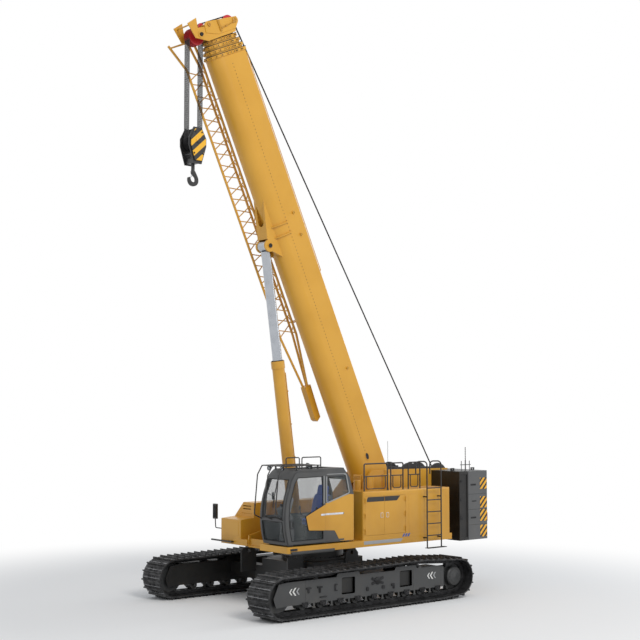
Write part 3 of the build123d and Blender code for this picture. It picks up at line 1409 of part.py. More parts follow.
# columns: x from the shank's line, z from the bowl's middle, along the hook's outside and back inside
hook_outside = [(-40, 210), (-95, 120), (-138, 10), (-110, -100), (-10, -150), (95, -115), (140, -20), (135, 45)]
hook_inside = [(95, 55), (70, 0), (45, -42), (0, -58), (-45, -42), (-60, 0), (-40, 60), (15, 110), (40, 210)]
with BuildPart() as hook:
    with BuildSketch(side_plane(0)):
        with BuildLine():
            outside = Spline(*[(block_x + x, hook_z + z) for x, z in hook_outside])
            inside = Spline(*[(block_x + x, hook_z + z) for x, z in hook_inside])
            Line(outside @ 1, inside @ 0)
            Line(inside @ 1, outside @ 0)
        make_face()
    extrude(amount=hook_bar * 0.8, both=True)
    chamfer(hook.faces().sort_by(Axis.Y)[0].edges() + hook.faces().sort_by(Axis.Y)[-1].edges(), 10)
    with BuildSketch(Plane.XY.offset(hook_z + 170)):
        with Locations((block_x, 0)):
            Circle(shank_radius)
    extrude(amount=hook_reach + 30)
    with BuildSketch(Plane.XY.offset(block_low + 130 + running_gap)):
        with Locations((block_x, 0)):
            Circle(shank_radius + 35)
    extrude(amount=50)
hook.part.label = "hook"
export_step(hook.part, "parts/hook.step")
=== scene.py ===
from math import cos, pi, radians, sin

import bmesh
import bpy
import numpy as np
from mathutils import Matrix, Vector


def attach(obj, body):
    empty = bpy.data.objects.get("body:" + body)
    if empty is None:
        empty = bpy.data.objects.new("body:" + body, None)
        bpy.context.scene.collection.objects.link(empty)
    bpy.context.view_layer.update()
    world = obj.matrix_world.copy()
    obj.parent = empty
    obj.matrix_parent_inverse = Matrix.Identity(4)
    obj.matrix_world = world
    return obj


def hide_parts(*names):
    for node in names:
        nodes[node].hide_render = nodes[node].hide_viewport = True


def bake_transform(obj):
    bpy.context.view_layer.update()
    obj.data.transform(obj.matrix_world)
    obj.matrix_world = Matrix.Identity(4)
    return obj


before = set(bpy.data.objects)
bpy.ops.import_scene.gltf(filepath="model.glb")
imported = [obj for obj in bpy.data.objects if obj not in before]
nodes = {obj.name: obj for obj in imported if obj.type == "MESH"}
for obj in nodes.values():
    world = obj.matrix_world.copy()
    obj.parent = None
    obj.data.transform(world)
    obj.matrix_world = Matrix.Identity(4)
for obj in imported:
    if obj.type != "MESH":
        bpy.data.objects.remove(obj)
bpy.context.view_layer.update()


# ------------------------------------------------------------------ shader maths
class Socket:
    """A shader socket that Python's operators turn into Math nodes."""

    def __init__(self, shade, socket):
        self.shade = shade
        self.socket = socket

    def _math(self, operation, *values):
        return self.shade.node("Math", {"operation": operation}, dict(enumerate(values)))

    def __add__(self, other):
        return self._math("ADD", self, other)

    def __radd__(self, other):
        return self._math("ADD", other, self)

    def __sub__(self, other):
        return self._math("SUBTRACT", self, other)

    def __rsub__(self, other):
        return self._math("SUBTRACT", other, self)

    def __mul__(self, other):
        return self._math("MULTIPLY", self, other)

    def __rmul__(self, other):
        return self._math("MULTIPLY", other, self)

    def __truediv__(self, other):
        return self._math("DIVIDE", self, other)

    def __mod__(self, other):
        return self._math("FLOORED_MODULO", self, other)

    def absolute(self):
        return self._math("ABSOLUTE", self)

    def clamped(self):
        return self._math("MINIMUM", self._math("MAXIMUM", self, 0.0), 1.0)


class Shade:
    """One material or world while it is written. Patterns read the piece's Object coordinates."""

    def __init__(self, name, kind="materials"):
        self.owner = getattr(bpy.data, kind).new(name)
        self.owner.use_nodes = True
        self.tree = self.owner.node_tree
        self.tree.nodes.clear()
        self.place = self.node("TexCoord", output="Object")

    def node(self, kind, settings=None, inputs=None, output=0):
        """A node from its type, its settings and the values or links of its sockets."""
        made = self.tree.nodes.new("ShaderNode" + kind)
        for name, value in (settings or {}).items():
            setattr(made, name, value)
        for name, value in (inputs or {}).items():
            if isinstance(value, Socket):
                self.tree.links.new(value.socket, made.inputs[name])
            else:
                made.inputs[name].default_value = value
        return Socket(self, made.outputs[output])

    def axes(self):
        """The three coordinates of the piece as separate sockets."""
        split = self.tree.nodes.new("ShaderNodeSeparateXYZ")
        self.tree.links.new(self.place.socket, split.inputs[0])
        return [Socket(self, split.outputs[axis]) for axis in "XYZ"]

    def noise(self, scale, detail=3.0, stretch=(1, 1, 1), roughness=0.5):
        """Soft noise, from 0 to 1, with a scale for each axis."""
        mapped = self.node("Mapping", None, {"Vector": self.place, "Scale": stretch})
        return self.node("TexNoise", None, {"Vector": mapped, "Scale": scale,
                                            "Detail": detail, "Roughness": roughness})

    def step(self, value, low, high):
        """A smooth step of value from low to high."""
        return self.node("MapRange", {"interpolation_type": "SMOOTHSTEP"},
                         {"Value": value, "From Min": low, "From Max": high})

    def mix(self, share, first, second):
        """Mix of two colours by share."""
        return self.node("Mix", {"data_type": "RGBA"},
                         {0: share, 6: first, 7: second}, output=2)

    def surface(self, constants, **varying):
        """The Principled shader: plain values by socket name, and what varies by keyword."""
        names = {"color": "Base Color", "roughness": "Roughness", "metallic": "Metallic",
                 "coat": "Coat Weight", "alpha": "Alpha", "normal": "Normal",
                 "emission": "Emission Color"}
        inputs = dict(constants)
        inputs.update({names[name]: value for name, value in varying.items()})
        return self.shown(self.node("BsdfPrincipled", None, inputs), "Material")

    def shown(self, shader, kind):
        """The finished Material or World, with this shader at its output."""
        output = self.tree.nodes.new("ShaderNodeOutput" + kind)
        self.tree.links.new(shader.socket, output.inputs["Surface"])
        return self.owner

    def bright_rays(self):
        """One for what the camera sees straight, in gloss or through glass, and else zero."""
        camera, glossy, through = (self.node("LightPath", output=f"Is {kind} Ray")
                                   for kind in ("Camera", "Glossy", "Transmission"))
        return (camera + glossy + through).clamped()

    def bump(self, height, strength, distance, rounded=0.0):
        """Bump from a height, over edges that look rounded by that radius."""
        inputs = {"Height": height, "Strength": strength, "Distance": distance}
        if rounded:
            inputs["Normal"] = self.node("Bevel", {"samples": 4}, {"Radius": rounded})
        return self.node("Bump", None, inputs)


def linear(red, green, blue):
    """A colour given in the usual 0 to 255 steps, as the shader wants it."""
    steps = np.array([red, green, blue]) / 255
    plain = np.where(steps <= 0.04045, steps / 12.92, ((steps + 0.055) / 1.055) ** 2.4)
    return (*[float(value) for value in plain], 1.0)


# ------------------------------------------------------------------ finishes
YELLOW = linear(216, 160, 50)
YELLOW_DULL = linear(196, 140, 32)
DARK = linear(78, 79, 80)
BLACK = linear(17, 17, 18)
RED = linear(200, 30, 42)
DUST = linear(150, 138, 118)


def painted(name, colour, dull, roughness=0.42, dust_top=1.2, dust=0.3, coat=0.25, bands=()):
    """Sprayed machine paint: faint colour drift, streaks down the sides, dust near the ground
    and in patches, rounded paint edges and a fine orange peel. Bands are sprayed over it, each
    from a function of the shade that gives its share, and a colour."""
    shade = Shade(name)
    _, _, height = shade.axes()
    drift = shade.noise(0.7, 4.0)
    streaks = shade.step(shade.noise(2.4, 5.0, (1, 1, 0.12), 0.6), 0.52, 0.75)
    low = shade.step(height, dust_top, 0.0)
    patches = shade.step(shade.noise(3.2, 6.0, roughness=0.62), 0.38, 0.78)
    dirt = ((low * 0.8 + 0.12) * patches * dust + streaks * dust * 0.2).clamped()
    base = shade.mix(shade.step(drift, 0.3, 0.72), colour, dull)
    for share, band_colour in bands:
        base = shade.mix(share(shade), base, band_colour)
    tint = shade.mix(dirt, base, DUST)
    peel = shade.noise(160.0, 2.0)
    return shade.surface(
        {"Coat Weight": coat, "Coat Roughness": 0.18, "IOR": 1.48}, color=tint,
        roughness=(dirt * 0.5 + drift * 0.12 + (roughness - 0.06)).clamped(),
        normal=shade.bump(peel, 0.06, 0.002, rounded=0.006))


def metal(name, colour, dark, roughness=0.35, grain=60.0, stretch=(1, 1, 1), metallic=1.0):
    """Bare or worked metal: brushed grain, darker patches and rounded edges."""
    shade = Shade(name)
    patches = shade.step(shade.noise(6.0, 6.0, roughness=0.65), 0.35, 0.7)
    brushed = shade.noise(grain, 3.0, stretch)
    return shade.surface(
        {"Metallic": metallic}, color=shade.mix(patches, colour, dark),
        roughness=(patches * 0.2 + brushed * 0.12 + (roughness - 0.1)).clamped(),
        normal=shade.bump(brushed, 0.12, 0.002, rounded=0.004))


def moulded(name, colour, worn, roughness=0.6, grain=260.0, bump=0.2):
    """Moulded plastic or rubber: fine leather-like grain and paler handled patches."""
    shade = Shade(name)
    pores = shade.node("TexVoronoi", None, {"Vector": shade.place, "Scale": grain})
    patches = shade.step(shade.noise(4.0, 5.0), 0.35, 0.75)
    return shade.surface(
        {"IOR": 1.45}, color=shade.mix(patches, colour, worn),
        roughness=(patches * 0.15 + (roughness - 0.05)).clamped(),
        normal=shade.bump(pores, bump, 0.0015, rounded=0.003))


def glazing(name, tint, clear):
    """Tinted safety glass, with a thin film of dust in patches."""
    shade = Shade(name)
    film = shade.step(shade.noise(1.6, 5.0, (1, 1, 0.4)), 0.35, 0.8)
    return shade.surface(
        {"Roughness": 0.04, "IOR": 1.5, "Specular IOR Level": 0.7},
        color=shade.mix(film, tint, linear(120, 126, 124)),
        alpha=(film * 0.10 + (1 - clear)).clamped())


def woven(name, colour, thread, pitch=0.004):
    """Seat cloth: two sets of threads crossing at right angles, and a soft nap."""
    shade = Shade(name)
    across, along, upward = shade.axes()
    warp = ((across + upward) / pitch % 1 - 0.5).absolute()
    weft = (along / pitch % 1 - 0.5).absolute()
    weave = shade.step(warp * weft, 0.0, 0.12)
    nap = shade.noise(30.0, 4.0)
    return shade.surface(
        {"Sheen Weight": 0.35, "Sheen Roughness": 0.4},
        color=shade.mix((weave * 0.6 + nap * 0.3).clamped(), colour, thread),
        roughness=(nap * 0.1 + 0.8).clamped(), normal=shade.bump(weave + nap * 0.5, 0.4, 0.001))


def striped(name, first, second, pitch, lean, shift=0.0, out_from=0.0):
    """Warning stripes: two colours in turn along the line x + lean z, with worn paint edges;
    only the first colour nearer the middle plane than out_from."""
    shade = Shade(name)
    across, side, upward = shade.axes()
    ragged = shade.noise(40.0, 4.0)
    run = (across + upward * lean + shift) / pitch + ragged * 0.02
    stripe = shade.step((run % 1 - 0.5).absolute(), 0.23, 0.25)
    outside = shade.step(side.absolute(), out_from - 0.001, out_from + 0.001)
    worn = shade.step(shade.noise(9.0, 6.0, roughness=0.65), 0.62, 0.8)
    tint = shade.mix(worn * 0.25, shade.mix(stripe * outside, first, second), DUST)
    return shade.surface({"Coat Weight": 0.2, "Coat Roughness": 0.2}, color=tint,
                         roughness=(worn * 0.2 + ragged * 0.08 + 0.36).clamped(),
                         normal=shade.bump(ragged, 0.05, 0.001, rounded=0.004))


def laid(name, colour, grease):
    """Steel rope: dark grease in patches over a fine grain."""
    shade = Shade(name)
    grain = shade.noise(90.0, 4.0)
    patches = shade.step(shade.noise(7.0, 4.0), 0.3, 0.75)
    return shade.surface(
        {"Metallic": 0.15}, color=shade.mix((patches * 0.6 + grain * 0.3).clamped(), colour, grease),
        roughness=(patches * 0.2 + 0.45).clamped(), normal=shade.bump(grain, 0.2, 0.001))


def over(axis, low, high, soft=0.002):
    """Share of a band that lies between two places on one axis."""
    def share(shade):
        place = dict(zip("xyz", shade.axes()))[axis]
        return shade.step(place, low - soft, low + soft) * shade.step(place, high + soft, high - soft)
    return share


def inside(reach):
    """Share of what lies nearer the machine's middle plane than reach."""
    def share(shade):
        return shade.step(shade.axes()[1].absolute(), reach + 0.004, reach - 0.004)
    return share


paint_yellow = painted("yellow_paint", YELLOW, YELLOW_DULL)
paint_boom = painted("boom_paint", YELLOW, linear(206, 150, 38), dust=0.12)
# plug weld dots: a darker yellow that is painted shade, for the shadow round each dot
weld_painted_shade = painted("plug_weld_painted_shade", linear(150, 104, 14), linear(138, 96, 12), 0.5, dust=0.1)
paint_deck = painted("deck_paint", YELLOW, YELLOW_DULL, bands=[(over("z", 1.2, 1.2995), DARK)])
paint_dark = painted("dark_grey_paint", DARK, linear(64, 65, 66), 0.5, dust=0.25, coat=0.1)
# the track frames: near black nearer the middle than their side face, painted shade in the frames' pockets
paint_frame = painted("track_frame_paint", linear(68, 69, 70), linear(56, 57, 58), 0.5,
                      dust_top=0.5, dust=0.16, coat=0.1, bands=[(inside(2.275), linear(14, 14, 14))])
paint_under = painted("undercarriage_paint", linear(60, 61, 62), linear(46, 47, 48), 0.5,
                      dust_top=0.5, dust=0.16, coat=0.1)

# the counterweight's black front panel, and the shadow in the joints between its slabs
weight_bands = [(over("x", -4.112, -3.7), linear(5, 5, 6))]
weight_bands += [(over("z", joint - 0.004, joint + 0.004), linear(20, 20, 21))
                 for joint in (1.5995, 1.9895, 2.3795)]
paint_weight = painted("counterweight_paint", linear(90, 91, 92), linear(78, 79, 80), 0.5,
                       dust_top=2.0, dust=0.25, coat=0.1, bands=weight_bands)
# the head's folded ribs, bosses and grease pipe: a darker yellow that is painted shade, for faces turned from
# the light
fold_painted_shade = painted("folded_plate_painted_shade", linear(186, 132, 20), linear(176, 122, 14), 0.48, dust=0.1)
paint_black = painted("black_paint", BLACK, linear(36, 36, 37), 0.45, dust=0.15)
paint_red = painted("red_sheave_paint", RED, linear(170, 22, 32), 0.4, dust=0.1)
paint_rim = painted("window_rim_paint", linear(150, 152, 152), linear(136, 138, 138), 0.4, dust=0.1)
paint_blank = painted("blank_band_paint", linear(168, 170, 172), linear(156, 158, 160), 0.4, dust=0.12)
paint_zinc = painted("zinc_paint", linear(226, 229, 232), linear(206, 209, 212), 0.35, dust=0.05)
paint_blue = painted("blue_stroke_paint", linear(24, 92, 176), linear(20, 78, 150), 0.4, dust=0.1)
paint_white = painted("white_chevron_paint", linear(232, 232, 230), linear(214, 214, 210), 0.45, dust=0.35)
hazard_paint = striped("hazard_stripes", linear(20, 20, 21), linear(236, 172, 24), 0.16, 1.0)
block_stripes = striped("hook_block_stripes", linear(36, 36, 37),
                        linear(240, 180, 36), 0.316, 1.09, -0.095, 0.222)
steel_track = metal("track_steel", linear(70, 70, 71), linear(34, 34, 35), 0.5, 40.0, metallic=0.6)
# the shoes' ridges: a lighter steel that is a painted highlight along the grouser edges
grouser_highlight_steel = metal("grouser_painted_highlight_steel", linear(132, 132, 134), linear(78, 78, 80), 0.45, 40.0, metallic=0.5)
steel_dark = metal("dark_casting", linear(52, 52, 54), linear(30, 30, 31), 0.55, 50.0, metallic=0.5)
steel_bright = metal("bright_steel", linear(190, 192, 194), linear(150, 152, 156), 0.28)
chrome = metal("polished_chrome", linear(216, 220, 226), linear(190, 194, 200), 0.16, 20.0)
rod_chrome = metal("chromed_rod", linear(178, 182, 188), linear(168, 172, 178), 0.15, 12.0,
                   (1, 1, 0.05))
rope_steel = laid("greased_rope", linear(44, 44, 46), linear(11, 11, 12))
rubber = moulded("black_rubber", linear(30, 30, 31), linear(46, 46, 47), 0.7)
plastic_grey = moulded("grey_plastic", linear(128, 130, 132), linear(110, 112, 114), 0.55)
plastic_pale = moulded("pale_plastic", linear(176, 178, 180), linear(156, 158, 160), 0.5)
plastic_black = moulded("black_plastic", linear(30, 30, 32), linear(46, 46, 48), 0.5)
seat_cloth = woven("blue_seat_cloth", linear(74, 102, 200), linear(104, 132, 220))
glass = glazing("cab_glazing", linear(60, 70, 74), 0.80)
lens = glazing("lamp_lens", linear(210, 216, 220), 0.35)
mirror_silver = metal("mirror_silver", linear(200, 205, 210), linear(190, 195, 200), 0.06, 10.0)
engine_paint = painted("engine_enamel", linear(86, 90, 94), linear(60, 62, 66), 0.5)

# columns: material slot, the finishes whose usual slot it is
slot_finishes = [
    ("yellow_paint", [paint_yellow, paint_boom, weld_painted_shade, paint_deck, fold_painted_shade, hazard_paint]),
    ("dark_paint", [paint_dark, paint_frame]),
    ("black_plastic", [plastic_black, plastic_pale, rubber, paint_black]),
    ("bare_steel", [steel_dark, steel_bright, chrome, mirror_silver, paint_rim, paint_blank,
                    paint_blue, paint_white, paint_zinc]),
    ("track_steel", [grouser_highlight_steel]),
    ("wire_rope", [rope_steel]),
    ("window_glass", [lens]),
    ("seat_fabric", [seat_cloth]),
    ("sheave_red", [paint_red]),
    ("cast_block", [block_stripes]),
]
usual_slot = {finish.name: slot for slot, finishes in slot_finishes for finish in finishes}

# columns: finish, the nodes that take it
node_finishes = [
    (steel_track, ["track_left", "track_right"]),
    (paint_frame, ["track_frame_left", "track_frame_right"]),
    (paint_under, ["carbody", "sprocket_left", "sprocket_right", "idler_left", "idler_right",
                   "track_rollers_left", "track_rollers_right", "slew_ring"]),
    (paint_deck, ["side_decks"]),
    (paint_dark, ["cab_shell", "cab_door"]),
    (paint_yellow, ["superstructure_frame", "engine_housing", "engine_door_front",
                    "engine_door_rear", "tank_housing", "luff_cylinder_barrel"]),
    (paint_weight, ["counterweight"]),
    (block_stripes, ["hook_block"]),
    (paint_boom, ["boom_base", "boom_section_2", "boom_section_3", "boom_section_4",
                  "boom_section_5", "boom_head", "lattice_jib"]),
    (paint_black, ["access_ladder", "hood_handrails", "cab_guards", "right_mirror", "hook",
                   "main_winch_drum", "auxiliary_winch_drum"]),
    (steel_dark, ["head_axle"]),
    (rod_chrome, ["luff_cylinder_rod"]),
    (paint_red, ["guide_sheaves", "head_sheaves"]),
    (steel_dark, ["hook_block_sheaves"]),
    (rope_steel, ["hoist_ropes"]),
    (glass, ["cab_glass", "cab_door_glass"]),
    (plastic_grey, ["cab_interior"]),
    (engine_paint, ["engine"]),
]
for finish, names in node_finishes:
    for name in names:
        node_mesh = nodes[name].data
        node_mesh.materials.clear()
        node_mesh.materials.append(finish)


# ------------------------------------------------------------------ shapes
# A shape is (points, faces): an array of points in metres and lists of point numbers.
X, Y, Z = np.eye(3)


def unit(vectors):
    """Vectors at length one."""
    vectors = np.asarray(vectors, float)
    return vectors / np.linalg.norm(vectors, axis=-1, keepdims=True)


def run_along(path):
    """Length of a path up to each of its points."""
    return np.concatenate([[0], np.cumsum(np.linalg.norm(np.diff(path, axis=0), axis=1))])


def around(axis, count):
    """Directions at equal turns round an axis: s cos a + (axis x s) sin a, from a side s of it."""
    axis = unit(axis)
    side = unit(np.cross(axis, X if abs(axis[0]) < 0.9 else Y))
    turn = np.linspace(0, 2 * pi, count, endpoint=False)[:, None]
    return np.cos(turn) * side + np.sin(turn) * np.cross(axis, side)


def corner_curves(before, corner, after, steps):
    """For each corner P the curve (1-t)^2 A + 2t(1-t) P + t^2 B, from A before it to B after it."""
    t = np.linspace(0, 1, steps)[None, :, None]
    return (1 - t) ** 2 * before[:, None] + 2 * t * (1 - t) * corner[:, None] + t ** 2 * after[:, None]


def drawn(outline, origin, across, along):
    """An outline's points (u, v) in space: origin + u across + v along."""
    outline = np.asarray(outline, float)
    return np.asarray(origin) + outline[:, :1] * across + outline[:, 1:] * along


def grid_faces(rows, columns, round_rows=False, round_columns=False):
    """Four-sided faces over a grid of points stored row by row."""
    row, column = np.meshgrid(np.arange(rows if round_rows else rows - 1),
                              np.arange(columns if round_columns else columns - 1), indexing="ij")
    right, below = (column + 1) % columns, (row + 1) % rows
    corners = [row * columns + column, row * columns + right,
               below * columns + right, below * columns + column]
    return np.stack(corners, -1).reshape(-1, 4).tolist()


def joined(*shapes):
    """Several shapes as one, with the later ones' point numbers moved up."""
    starts = np.cumsum([0] + [len(points) for points, _ in shapes])
    faces = [[int(start) + number for number in face]
             for start, (_, members) in zip(starts, shapes) for face in members]
    return np.concatenate([points for points, _ in shapes]), faces


def on_both_sides(make):
    """The shape that make gives for the left (1), joined with the one that it gives for the right (-1)."""
    return joined(make(1), make(-1))


def placed(shape, origin, across=X, upward=Z):
    """A shape drawn round zero, set at origin with its x along across and its z along upward."""
    points, faces = shape
    across, upward = unit(across), unit(upward)
    return np.asarray(origin) + points @ np.stack([across, np.cross(upward, across), upward]), faces


def repeated(shape, origins, across, upward):
    """One shape at many places: origin + x across + y (upward x across) + z upward for each."""
    points, faces = shape
    origins, across, upward = (np.asarray(value, float) for value in (origins, across, upward))
    across = np.broadcast_to(unit(across), origins.shape)
    upward = np.broadcast_to(unit(upward), origins.shape)
    axes = np.stack([across, np.cross(upward, across), upward], 1)
    every = (origins[:, None] + np.einsum("pk,nkj->npj", points, axes)).reshape(-1, 3)
    count = len(points)
    return every, [[number + copy * count for number in face]
                   for copy in range(len(origins)) for face in faces]


def slab(outline, thickness, origin=(0, 0, 0), across=X, along=Z):
    """A flat outline with thickness: its points on two planes half a thickness either side of
    origin + u across + v along, joined by a wall."""
    across, along = unit(across), unit(along)
    flat = drawn(outline, origin, across, along)
    normal = np.cross(across, along) * thickness / 2
    count = len(outline)
    faces = [list(range(count))[::-1], list(range(count, 2 * count))]
    return np.concatenate([flat - normal, flat + normal]), faces + grid_faces(2, count, False, True)


def frame_slab(outer, inner, thickness, origin=(0, 0, 0), across=X, along=Z):
    """A flat ring between two outlines with as many points each, given a thickness."""
    across, along = unit(across), unit(along)
    normal = np.cross(across, along) * thickness / 2
    points = [drawn(ring, origin, across, along) + way * normal
              for ring, way in ((outer, -1), (outer, 1), (inner, 1), (inner, -1))]
    return np.concatenate(points), grid_faces(4, len(outer), True, True)


def block(low, high):
    """A square-edged block between two corners, made as a slab of its plan."""
    (x0, y0, z0), (x1, y1, z1) = low, high
    plan = [(x0, y0), (x1, y0), (x1, y1), (x0, y1)]
    return slab(plan, z1 - z0, (0, 0, (z0 + z1) / 2), X, Y)


def lathe(profile, origin=(0, 0, 0), axis=Z, sides=32):
    """A profile of (radius, place along the axis) turned round the axis:
    point = origin + place axis + radius (cos a, sin a)."""
    profile = np.asarray(profile, float)
    ring = around(axis, sides)
    points = np.asarray(origin) + profile[:, None, 1:] * unit(axis) + profile[:, None, :1] * ring[None]
    faces = grid_faces(len(profile), sides, False, True)
    last = (len(profile) - 1) * sides
    if profile[0, 0] > 0:
        faces.append([*range(sides)][::-1])
    if profile[-1, 0] > 0:
        faces.append([*range(last, last + sides)])
    return points.reshape(-1, 3), faces


def bent(points, bend=0.03, steps=6):
    """A run of straight pieces whose corners are curves that begin a bend's length before them."""
    points = np.asarray(points, float)
    if len(points) < 3:
        return points
    corner = points[1:-1]
    before = corner + bend * unit(points[:-2] - corner)
    after = corner + bend * unit(points[2:] - corner)
    arcs = corner_curves(before, corner, after, steps).reshape(-1, 3)
    return np.concatenate([points[:1], arcs, points[-1:]])


def carried(path, profile, round_path=False, twist=0.0):
    """A closed profile (side, up) carried along a path, turned by twist radians a metre."""
    path, profile = np.asarray(path, float), np.asarray(profile, float)
    if round_path:
        tangent = unit(np.roll(path, -1, 0) - np.roll(path, 1, 0))
    else:
        tangent = unit(np.gradient(path, axis=0))
    normal = np.linalg.svd(path - path.mean(0), full_matrices=True)[2][-1]
    side = unit(np.cross(tangent, normal))
    upward = np.cross(side, tangent)
    turn = (twist * run_along(path))[:, None]
    u = profile[None, :, 0] * np.cos(turn) - profile[None, :, 1] * np.sin(turn)
    v = profile[None, :, 0] * np.sin(turn) + profile[None, :, 1] * np.cos(turn)
    points = path[:, None] + u[..., None] * side[:, None] + v[..., None] * upward[:, None]
    count = len(profile)
    faces = grid_faces(len(path), count, round_path, True)
    if not round_path:
        last = (len(path) - 1) * count
        faces += [list(range(count))[::-1], list(range(last, last + count))]
    return points.reshape(-1, 3), faces


def circle(radius, sides=12):
    """Points at equal turns on a circle."""
    turn = np.linspace(0, 2 * pi, sides, endpoint=False)
    return np.stack([radius * np.cos(turn), radius * np.sin(turn)], 1)


def pipe(points, radius, bend=0.03, sides=12, steps=6):
    """Round bar or hose along straight pieces with rounded corners."""
    return carried(bent(points, bend, steps), circle(radius, sides))


def strands(radius, sides=24, lobes=6):
    """Outline of a laid rope: a circle whose radius swells once for each strand."""
    turn = np.linspace(0, 2 * pi, sides, endpoint=False)
    swell = radius * (0.93 + 0.07 * np.cos(lobes * turn))
    return np.stack([swell * np.cos(turn), swell * np.sin(turn)], 1)


def bolt_head(radius, height):
    """Six-sided bolt head with a chamfered crown on a round washer, standing on z = 0."""
    washer = lathe([(radius * 1.35, 0), (radius * 1.35, height * 0.2), (0, height * 0.2)], sides=12)
    crown = lathe([(radius, height * 0.2), (radius, height * 0.85), (radius * 0.8, height),
                   (0, height)], sides=6)
    return joined(washer, crown)


def ring_of_bolts(middle, axis, radius, count, size, height):
    """Bolt heads at equal turns on a circle about an axis."""
    ring = around(axis, count)
    return repeated(bolt_head(size, height), np.asarray(middle) + radius * ring, ring, axis)


def rounded(outline, radius, steps=5):
    """A closed outline whose corners are curves that begin a radius before them."""
    corner = np.asarray(outline, float)
    before = corner + radius * unit(np.roll(corner, 1, 0) - corner)
    after = corner + radius * unit(np.roll(corner, -1, 0) - corner)
    return corner_curves(before, corner, after, steps).reshape(-1, 2)


def grown(outline, by):
    """A closed outline, drawn either way round, with every point moved out along its normal."""
    outline = np.asarray(outline, float)
    ahead, back = np.roll(outline, -1, 0), np.roll(outline, 1, 0)
    area = np.sum(outline[:, 0] * ahead[:, 1] - ahead[:, 0] * outline[:, 1])
    way = unit(ahead - outline) + unit(outline - back)
    normal = unit(np.stack([way[:, 1], -way[:, 0]], 1)) * np.sign(area)
    return outline + by * normal


def oblong(x, z, wide, high, radius=0.01):
    """Outline of a rectangle with rounded corners about (x, z)."""
    return rounded([(x - wide / 2, z - high / 2), (x + wide / 2, z - high / 2),
                    (x + wide / 2, z + high / 2), (x - wide / 2, z + high / 2)], radius)


def on_side(outline, y, thickness):
    """A plate whose outline is drawn in x and z, its middle at width y."""
    return slab(outline, thickness, (0, y, 0))


def piece(name, shape, finish, body, bevel=0.0, sharp=35.0, slot=None, stands_for=()):
    """A finished piece from a shape: doubles merged, faces outward, edges rounded by bevel. It rides on a
    body where one is given. The slot named, or else its finish's usual slot, is looked up and not used."""
    points, faces = shape
    mesh = bpy.data.meshes.new(name)
    mesh.from_pydata(np.asarray(points, float).tolist(), [], faces)
    solid = bmesh.new()
    solid.from_mesh(mesh)
    bmesh.ops.remove_doubles(solid, verts=solid.verts, dist=1e-6)
    bmesh.ops.dissolve_degenerate(solid, edges=solid.edges, dist=1e-7)
    bmesh.ops.recalc_face_normals(solid, faces=solid.faces)
    solid.to_mesh(mesh)
    solid.free()
    mesh.polygons.foreach_set("use_smooth", np.ones(len(mesh.polygons), bool))
    mesh.set_sharp_from_angle(angle=radians(sharp))
    mesh.materials.append(finish)
    made = bpy.data.objects.new(name, mesh)
    bpy.context.scene.collection.objects.link(made)
    if bevel:
        rounding = made.modifiers.new("rounded_edges", "BEVEL")
        rounding.width = bevel
        rounding.segments = 2
        rounding.limit_method = "ANGLE"
        rounding.angle_limit = radians(40)
    if body:
        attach(made, body)
    if slot is None:
        slot = usual_slot[finish.name]
    if stands_for:
        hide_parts(*stands_for)
    return made


# ------------------------------------------------------------------ places on the machine
PIVOT = np.array([-2.14, 0.0, 2.70])
BOOM_RISE = radians(65.6)
ALONG = np.array([cos(BOOM_RISE), 0.0, sin(BOOM_RISE)])
OUT = np.array([-sin(BOOM_RISE), 0.0, cos(BOOM_RISE)])
BOOM_HALF, BOOM_TOP, BOOM_STEP = 0.300, 0.350, 0.026     # each section is a step smaller
BELLY = 0.300                                            # the round belly's centre, under the pin's line
COLLAR_FRONT, COLLAR_PITCH = 11.31, 0.12
MAIN_DRUM = np.array([-4.09, 0.0, 2.81])
AUXILIARY_DRUM = np.array([-3.04, 0.0, 2.845])
ROPE = 0.011                                             # radius, on the drums and in the falls
HEAD_AXLE = np.array([3.46006, 0.0, 13.18618])
BLOCK_AXLE = np.array([3.46006, 0.0, 10.72618])
FALL_REACH, FALL_PITCH = 0.183, 0.044                    # of the rope from its axle, of the sheaves
# rope lines at the head: along the boom, height over the foot pin's line, reach of the rope
GUIDE_SHEAVE = (11.960, 0.340, 0.158)
LOWER_GUIDE = (12.035, -0.480, 0.075)
HEAD_SHEAVE = (11.863, -0.768, FALL_REACH)
MAIN_ROPE_REACH = 0.246
FOOT, ROD_EYE = np.array([0.437, 0.0, 1.9]), np.array([1.35287, 0.0, 8.46828])
CYLINDER = unit(ROD_EYE - FOOT)
HOOD_FACE, DOOR_FACE, SHELL_FACE, WEIGHT_FACE = 1.5, 1.499, 1.455, 1.45
TRACK_MIDDLE, FRAME_FACE = 2.115, 2.315
SEAT_SIDE = 1.0375
SIDES = (("left", 1), ("right", -1))


def on_boom(along, side, height):
    """Points beside the boom: along it from the foot pin, to the left, and over the pin's line."""
    along, side, height = np.broadcast_arrays(along, side, height)
    return PIVOT + along[..., None] * ALONG + side[..., None] * Y + height[..., None] * OUT


